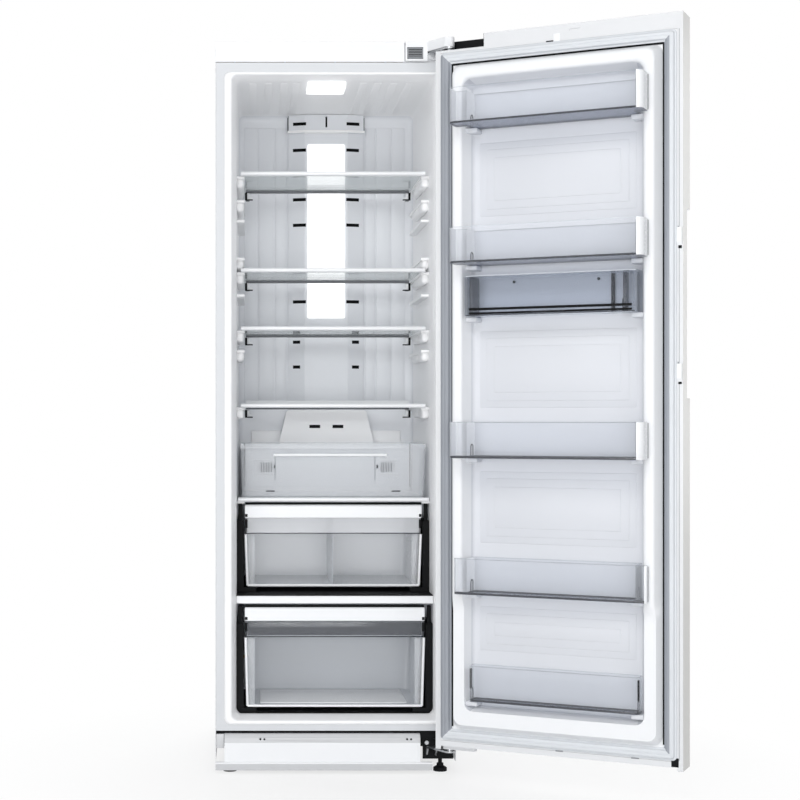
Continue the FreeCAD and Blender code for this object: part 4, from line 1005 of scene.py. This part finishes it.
def dairy_trim():
    """Dark ends, bars and floor line of the dairy box, its flap's lines, a pale top band and two stops."""
    low = DAIRY_LOW + 3
    high = DAIRY_HIGH - 3
    # Limits in x and the front of the smoky ends
    ends = ((-172.0, -164.0, 2.0), (188.5, 196.5, 30.0))
    end_rear = -19
    floor_half = BASKET_REAR_HALF - 2
    bm = bmesh.new()
    for x0, x1, front in ends:
        add_block(bm, (x0, end_rear, low), (x1, front, high), r=0.8)
    add_block(bm, (-floor_half, DAIRY_FRONT - 4, DAIRY_LOW + 0.2),
              (floor_half, DAIRY_FRONT - 0.4, DAIRY_LOW + 2.6), r=0.6)
    piece("dairy_ends", bm, "edge", "door", door=True)
    # Middle, half width and top of the upright bars
    bars = ((-136.5, 4.2, high), (-160.5, 2.6, DAIRY_LOW + 34), (-194.0, 2.4, high))
    blocks("dairy_bars", "dark", "door",
           [((x - half, -18, low), (x + half, -14, top)) for x, half, top in bars], r=0.6, door=True)
    flap_half = BASKET_REAR_HALF - 9.0
    # Foot and height of the flap's two lines
    lines = ((DAIRY_LOW + 3.4, 5.0), (DAIRY_LOW + 13.0, 6.0))
    blocks("flap_lines", "dark", "flap",
           [((-flap_half, DAIRY_FRONT - 5.9, z), (flap_half, DAIRY_FRONT - 2.1, z + height))
            for z, height in lines], r=0.6, door=True)
    band_half = BASKET_REAR_HALF - 1
    band_low = DAIRY_HIGH - 2.2
    blocks("dairy_band", "trim", "door",
           [((-band_half, DAIRY_FRONT - 14, band_low), (band_half, DAIRY_FRONT - 1, DAIRY_HIGH - 0.2))],
           r=0.8, door=True)
    stop_z = DAIRY_HIGH - 14
    rods("dairy_stops", "dark", "door", [((x, -20.2, stop_z), (x, -17.5, stop_z)) for x in (-102, 102)],
         r=3.4, sides=14, door=True)


for basket in zip(BASKETS, BASKET_FLOORS, BASKET_FRONTS):
    basket_trim(*basket)
dairy_trim()


# Trim of the shelves, crispers, chiller, switch and rear
def shelf_hooks(number):
    """Painted shade at both rear corners under a shelf: a dark stop and a dark line under a pale foot."""
    body = "shelf_%d" % number
    trim_low, trim_high = node_box("shelf_trim_%d" % number)
    low = trim_low[2]
    rear = trim_high[1]
    glass = heights("shelf_glass_%d" % number)[0]
    outer = ROOM_HALF - 20.8
    stem = ROOM_HALF - 26.5
    bm = bmesh.new()
    for (x0, x1), (x2, x3) in zip(both_sides(stem, outer), both_sides(ROOM_HALF - 42, outer)):
        add_block(bm, (x0, rear - 36, low + 1), (x1, rear - 30.6, glass - 6), r=0.8)
        add_block(bm, (x2, rear - 35, low - 1), (x3, rear - 31, low + 2), r=0.6)
    piece(body + "_hook_painted_shade", bm, "dark", body)
    foot_front = rear - 37
    foot_back = rear - 31
    boxes = []
    for (x0, x1), (x2, x3) in zip(both_sides(ROOM_HALF - 41, stem), both_sides(ROOM_HALF - 33, stem)):
        boxes.append(((x0, foot_front, low + 2), (x1, foot_back, low + 8)))
        boxes.append(((x2, foot_front, low + 3), (x3, foot_back, glass - 8)))
    blocks(body + "_hook_feet", "trim", body, boxes, r=2.0)


def crisper_trim(body, front, low, rim, half):
    """Painted shade along a crisper's lip, clips, a painted shadow strip above the handle, painted
    highlights on the front edges, wings and painted shadow posts at the sides.
    """
    lip = rim - LIP_H
    lip_half = half - 2.5
    face = front - 0.4
    bm = bmesh.new()
    add_block(bm, (-lip_half, face, lip - 0.6), (lip_half, front + 3.4, lip + 2.0), r=0.8)
    for x0, x1 in both_sides(half - 4.5, lip_half):
        add_block(bm, (x0, face, lip), (x1, front + 3.0, rim - 2), r=0.6)
    piece(body + "_lip_painted_shade", bm, "edge", body)
    clip_face = front - 0.6
    bm = bmesh.new()
    for x0, x1 in both_sides(half - 6, half + 0.6):
        add_block(bm, (x0, clip_face, rim + 2), (x1, front + 6, rim + 10), r=1.0)
        add_block(bm, (x0, clip_face, rim - 26), (x1, front + 2.6, rim - 4), r=0.8)
    piece(body + "_clips", bm, "dark", body)
    top = heights(body + "_handle")[1]
    strip_half = half + 0.5
    blocks(body + "_top_painted_shadow", "dark", body,
           [((-strip_half, front + 6, top - 1), (strip_half, front + 22, top + 5))], r=0.8)
    foot = low + 6
    crest = lip - 2
    foot_y = front + 4.4
    foot_half = half - 6
    edges = [((side * (half - 1), front + 4, crest), (side * foot_half, foot_y, foot)) for side in SIDES]
    edges.append(((-foot_half, foot_y, foot), (foot_half, foot_y, foot)))
    rods(body + "_front_painted_highlights", "painted_light_clear", body, edges, r=3.2, sides=14)
    blocks(body + "_front_wings", "frosted", body,
           [((x0, front + 5.6, foot), (x1, front + 6.6, crest))
            for x0, x1 in both_sides(half - 24, half - 5)], r=0.4)
    blocks(body + "_painted_shadow_posts", "dark", "cabinet",
           [((x0, front + 12, rim - 10), (x1, front + 22, top + 4))
            for x0, x1 in both_sides(half + 8, half + 18)], r=1.2)


def lower_crisper_inside(front, back, low, rim, half):
    """The pad on the lower crisper's floor in the painted highlight white, and the painted shade behind its
    lip.
    """
    pad_half = 186
    blocks("lower_crisper_pad", "painted_highlight", "lower_crisper",
           [((-pad_half, front + 56, low + 2.4), (pad_half, back - 36, low + 6))], r=1.6)
    shade_half = half - 7
    blocks("lower_crisper_shade", "painted_shade_smoke", "lower_crisper",
           [((-shade_half, front + 5, rim - LIP_H + 4), (shade_half, front + 6, rim - 2))], r=0.4)


def chiller_trim():
    """Marks, ribs and a painted highlight bar on the chiller drawer's front, painted shade lines at its rear
    corners and its rounded top edge.
    """
    (_, front, low), (half, back, high) = node_box("chiller_drawer")
    mark_x = half - 76
    mark_half = 11
    pin_half = 2
    bm = bmesh.new()
    for x in (-mark_x, mark_x):
        add_block(bm, (x - mark_half, front + 9.5, low + 14), (x + mark_half, front + 13, low + 17), r=0.8)
    for x in (-149, 112):
        add_block(bm, (x - pin_half, front + 4.6, low + 74), (x + pin_half, front + 7.5, low + 82), r=0.6)
    piece("chiller_marks", bm, "edge", "chiller")
    rib_pitch = 6.5
    bm = bmesh.new()
    for x in (-148, 106):
        add_rod(bm, (x, front + 7.4, low + 44), (x, front + 2.6, low + 108), r=0.8, sides=8)
    for first in (-183, 122):
        for k in range(5):
            x = first + rib_pitch * k
            add_rod(bm, (x, front + 6.2, low + 64), (x, front + 4.4, low + 88), r=1.0, sides=8)
    piece("chiller_ribs", bm, "grey", "chiller")
    bar_y = front + 4.4
    bar_z = high - 28
    rods("chiller_painted_highlight", "painted_light_clear", "chiller", [((-152, bar_y, bar_z), (136, bar_y, bar_z))],
         r=3.4, sides=16)
    corner_x = half - 10
    corner_y = back - 7
    nose_x = half - 6
    nose_y = front + 2.2
    top = high - 3
    rods("chiller_corner_painted_shade", "painted_shade_smoke", "chiller",
         [((side * corner_x, corner_y, low + 14), (side * corner_x, corner_y, top)) for side in SIDES],
         r=1.5, sides=10)
    rods("chiller_nose", "clear", "chiller", [((-nose_x, nose_y, top), (nose_x, nose_y, top))],
         r=2.2, sides=14)


def switch_ribs():
    """Raised lines across the door switch."""
    low, high = node_box("switch_plunger")
    count = 5
    margin = 6
    pitch = (high[2] - low[2] - 2 * margin) / (count - 1)
    boxes = []
    for k in range(count):
        z = low[2] + margin + k * pitch
        boxes.append(((low[0] + 2, low[1] - 0.6, z - 1), (high[0] - 2, low[1] + 1.5, z + 1)))
    blocks("switch_ribs", "dark", "switch", boxes, r=0.6)


def rear_trim():
    """Pressed beads and screw heads of the rear sheet, and the kickplate's cheek at the front, grey as
    painted shade.
    """
    back = CAB_D - 0.4
    bead_half = 8
    bead_low = 420
    bead_high = 1620
    blocks("rear_beads", "back", "cabinet",
           [((x - bead_half, back - 2.6, bead_low), (x + bead_half, back + 0.3, bead_high))
            for x in (-190, -63, 63, 190)], r=2.4)
    # Painted shade: the kickplate's cheek is grey.
    blocks("kick_cheek", "kick_painted_shade", "cabinet",
           [((-HALF + 1.6, 1, KICK_LOW + 54), (-LAND_HALF - 0.6, 7.5, KICK_HIGH - 1))], r=1.0)
    rods("rear_screws", "hinge", "cabinet",
         [((x, back - 1, z), (x, back + 0.35, z))
          for x in (-280, -140, 0, 140, 280) for z in (CAB_TOP - 14, 212)], r=4.0, sides=18)


for shelf in SHELVES:
    shelf_hooks(shelf)
for crisper, spec in CRISPERS.items():
    crisper_trim(crisper, spec["front"], spec["low"], spec["rim"], spec["half"])
lower_crisper_inside(**CRISPERS["lower_crisper"])
chiller_trim()
switch_ribs()
rear_trim()


# Stage, light and camera
def seen_rays(tree):
    """1 for rays from the camera, from mirrors and through glass, else 0."""
    path = tree.nodes.new("ShaderNodeLightPath")
    total = path.outputs["Is Camera Ray"]
    for kind in ("Is Glossy Ray", "Is Transmission Ray"):
        node = tree.nodes.new("ShaderNodeMath")
        node.operation = "MAXIMUM"
        tree.links.new(total, node.inputs[0])
        tree.links.new(path.outputs[kind], node.inputs[1])
        total = node.outputs[0]
    return total


def stage():
    """A pale floor that fades into the white of the studio away from the object."""
    size = 30.0
    middle = (0.15, 0.1, 0.0)
    fade_from = 0.3
    fade_to = 1.1
    least_glow = 0.7
    mesh = bpy.data.meshes.new("floor")
    mesh.from_pydata([(-size, -size, 0), (size, -size, 0), (size, size, 0), (-size, size, 0)], [],
                     [(0, 1, 2, 3)])
    floor = bpy.data.objects.new("floor", mesh)
    scene.collection.objects.link(floor)
    material, tree, out = new_material("pale_floor")
    diffuse = tree.nodes.new("ShaderNodeBsdfDiffuse")
    diffuse.inputs["Color"].default_value = (0.9, 0.9, 0.9, 1)
    glow = tree.nodes.new("ShaderNodeEmission")
    glow.inputs["Color"].default_value = WHITE
    glow.inputs["Strength"].default_value = 1.0
    coords = tree.nodes.new("ShaderNodeTexCoord")
    away = tree.nodes.new("ShaderNodeVectorMath")
    away.operation = "DISTANCE"
    away.inputs[1].default_value = middle
    fade = tree.nodes.new("ShaderNodeMapRange")
    fade.inputs["From Min"].default_value = fade_from
    fade.inputs["From Max"].default_value = fade_to
    fade.inputs["To Min"].default_value = least_glow
    fade.inputs["To Max"].default_value = 1.0
    share = tree.nodes.new("ShaderNodeMath")
    share.operation = "MULTIPLY"
    link = tree.links.new
    link(coords.outputs["Object"], away.inputs[0])
    link(away.outputs["Value"], fade.inputs["Value"])
    link(fade.outputs["Result"], share.inputs[0])
    link(seen_rays(tree), share.inputs[1])
    mixed(tree, out, share.outputs[0], diffuse.outputs["BSDF"], glow.outputs["Emission"])
    mesh.materials.append(material)


def world():
    """Soft light from all round, seen as plain white."""
    scene.world = bpy.data.worlds.new("studio")
    scene.world.use_nodes = True
    tree = scene.world.node_tree
    tree.nodes.clear()
    out = tree.nodes.new("ShaderNodeOutputWorld")
    soft = tree.nodes.new("ShaderNodeBackground")
    soft.inputs["Color"].default_value = (0.94, 0.97, 1.0, 1)
    soft.inputs["Strength"].default_value = 0.36
    white = tree.nodes.new("ShaderNodeBackground")
    white.inputs["Color"].default_value = WHITE
    white.inputs["Strength"].default_value = 1.0
    mixed(tree, out, seen_rays(tree), soft.outputs["Background"], white.outputs["Background"])


def lamp(name, place, target, size, power):
    data = bpy.data.lights.new(name, "AREA")
    data.shape = "RECTANGLE"
    data.size = size[0]
    data.size_y = size[1]
    data.energy = power
    obj = bpy.data.objects.new(name, data)
    obj.location = place
    obj.rotation_euler = (Vector(target) - Vector(place)).to_track_quat("-Z", "Y").to_euler()
    scene.collection.objects.link(obj)


def camera():
    data = bpy.data.cameras.new("camera")
    data.sensor_width = 36.0
    data.lens = 74.03
    data.shift_x = 0.19
    data.shift_y = 0.027
    obj = bpy.data.objects.new("camera", data)
    obj.location = (-0.217, -4.070, 0.870)
    obj.rotation_euler = (math.radians(90), 0, 0)
    scene.collection.objects.link(obj)
    scene.camera = obj


stage()
world()
lamp("key", place=(-1.0, -4.0, 3.7), target=(0.1, 0.3, 0.8), size=(2.2, 1.6), power=70)
lamp("right", place=(2.4, -4.0, 1.8), target=(0.1, 0.0, 0.8), size=(1.8, 1.8), power=22)
lamp("left", place=(-2.3, -3.2, 1.2), target=(0.1, 0.2, 0.8), size=(1.4, 1.6), power=21)
lamp("front", place=(-0.2, -4.4, 0.6), target=(0.0, 0.4, 0.7), size=(2.2, 0.9), power=45)
lamp("rear", place=(0.5, 4.0, 2.4), target=(0.0, 0.3, 0.9), size=(3.0, 3.0), power=105)
for side in SIDES:
    lamp("side", place=(side * 3.8, 1.7, 1.5), target=(0.0, 0.3, 0.9), size=(2.2, 2.2), power=34)
camera()
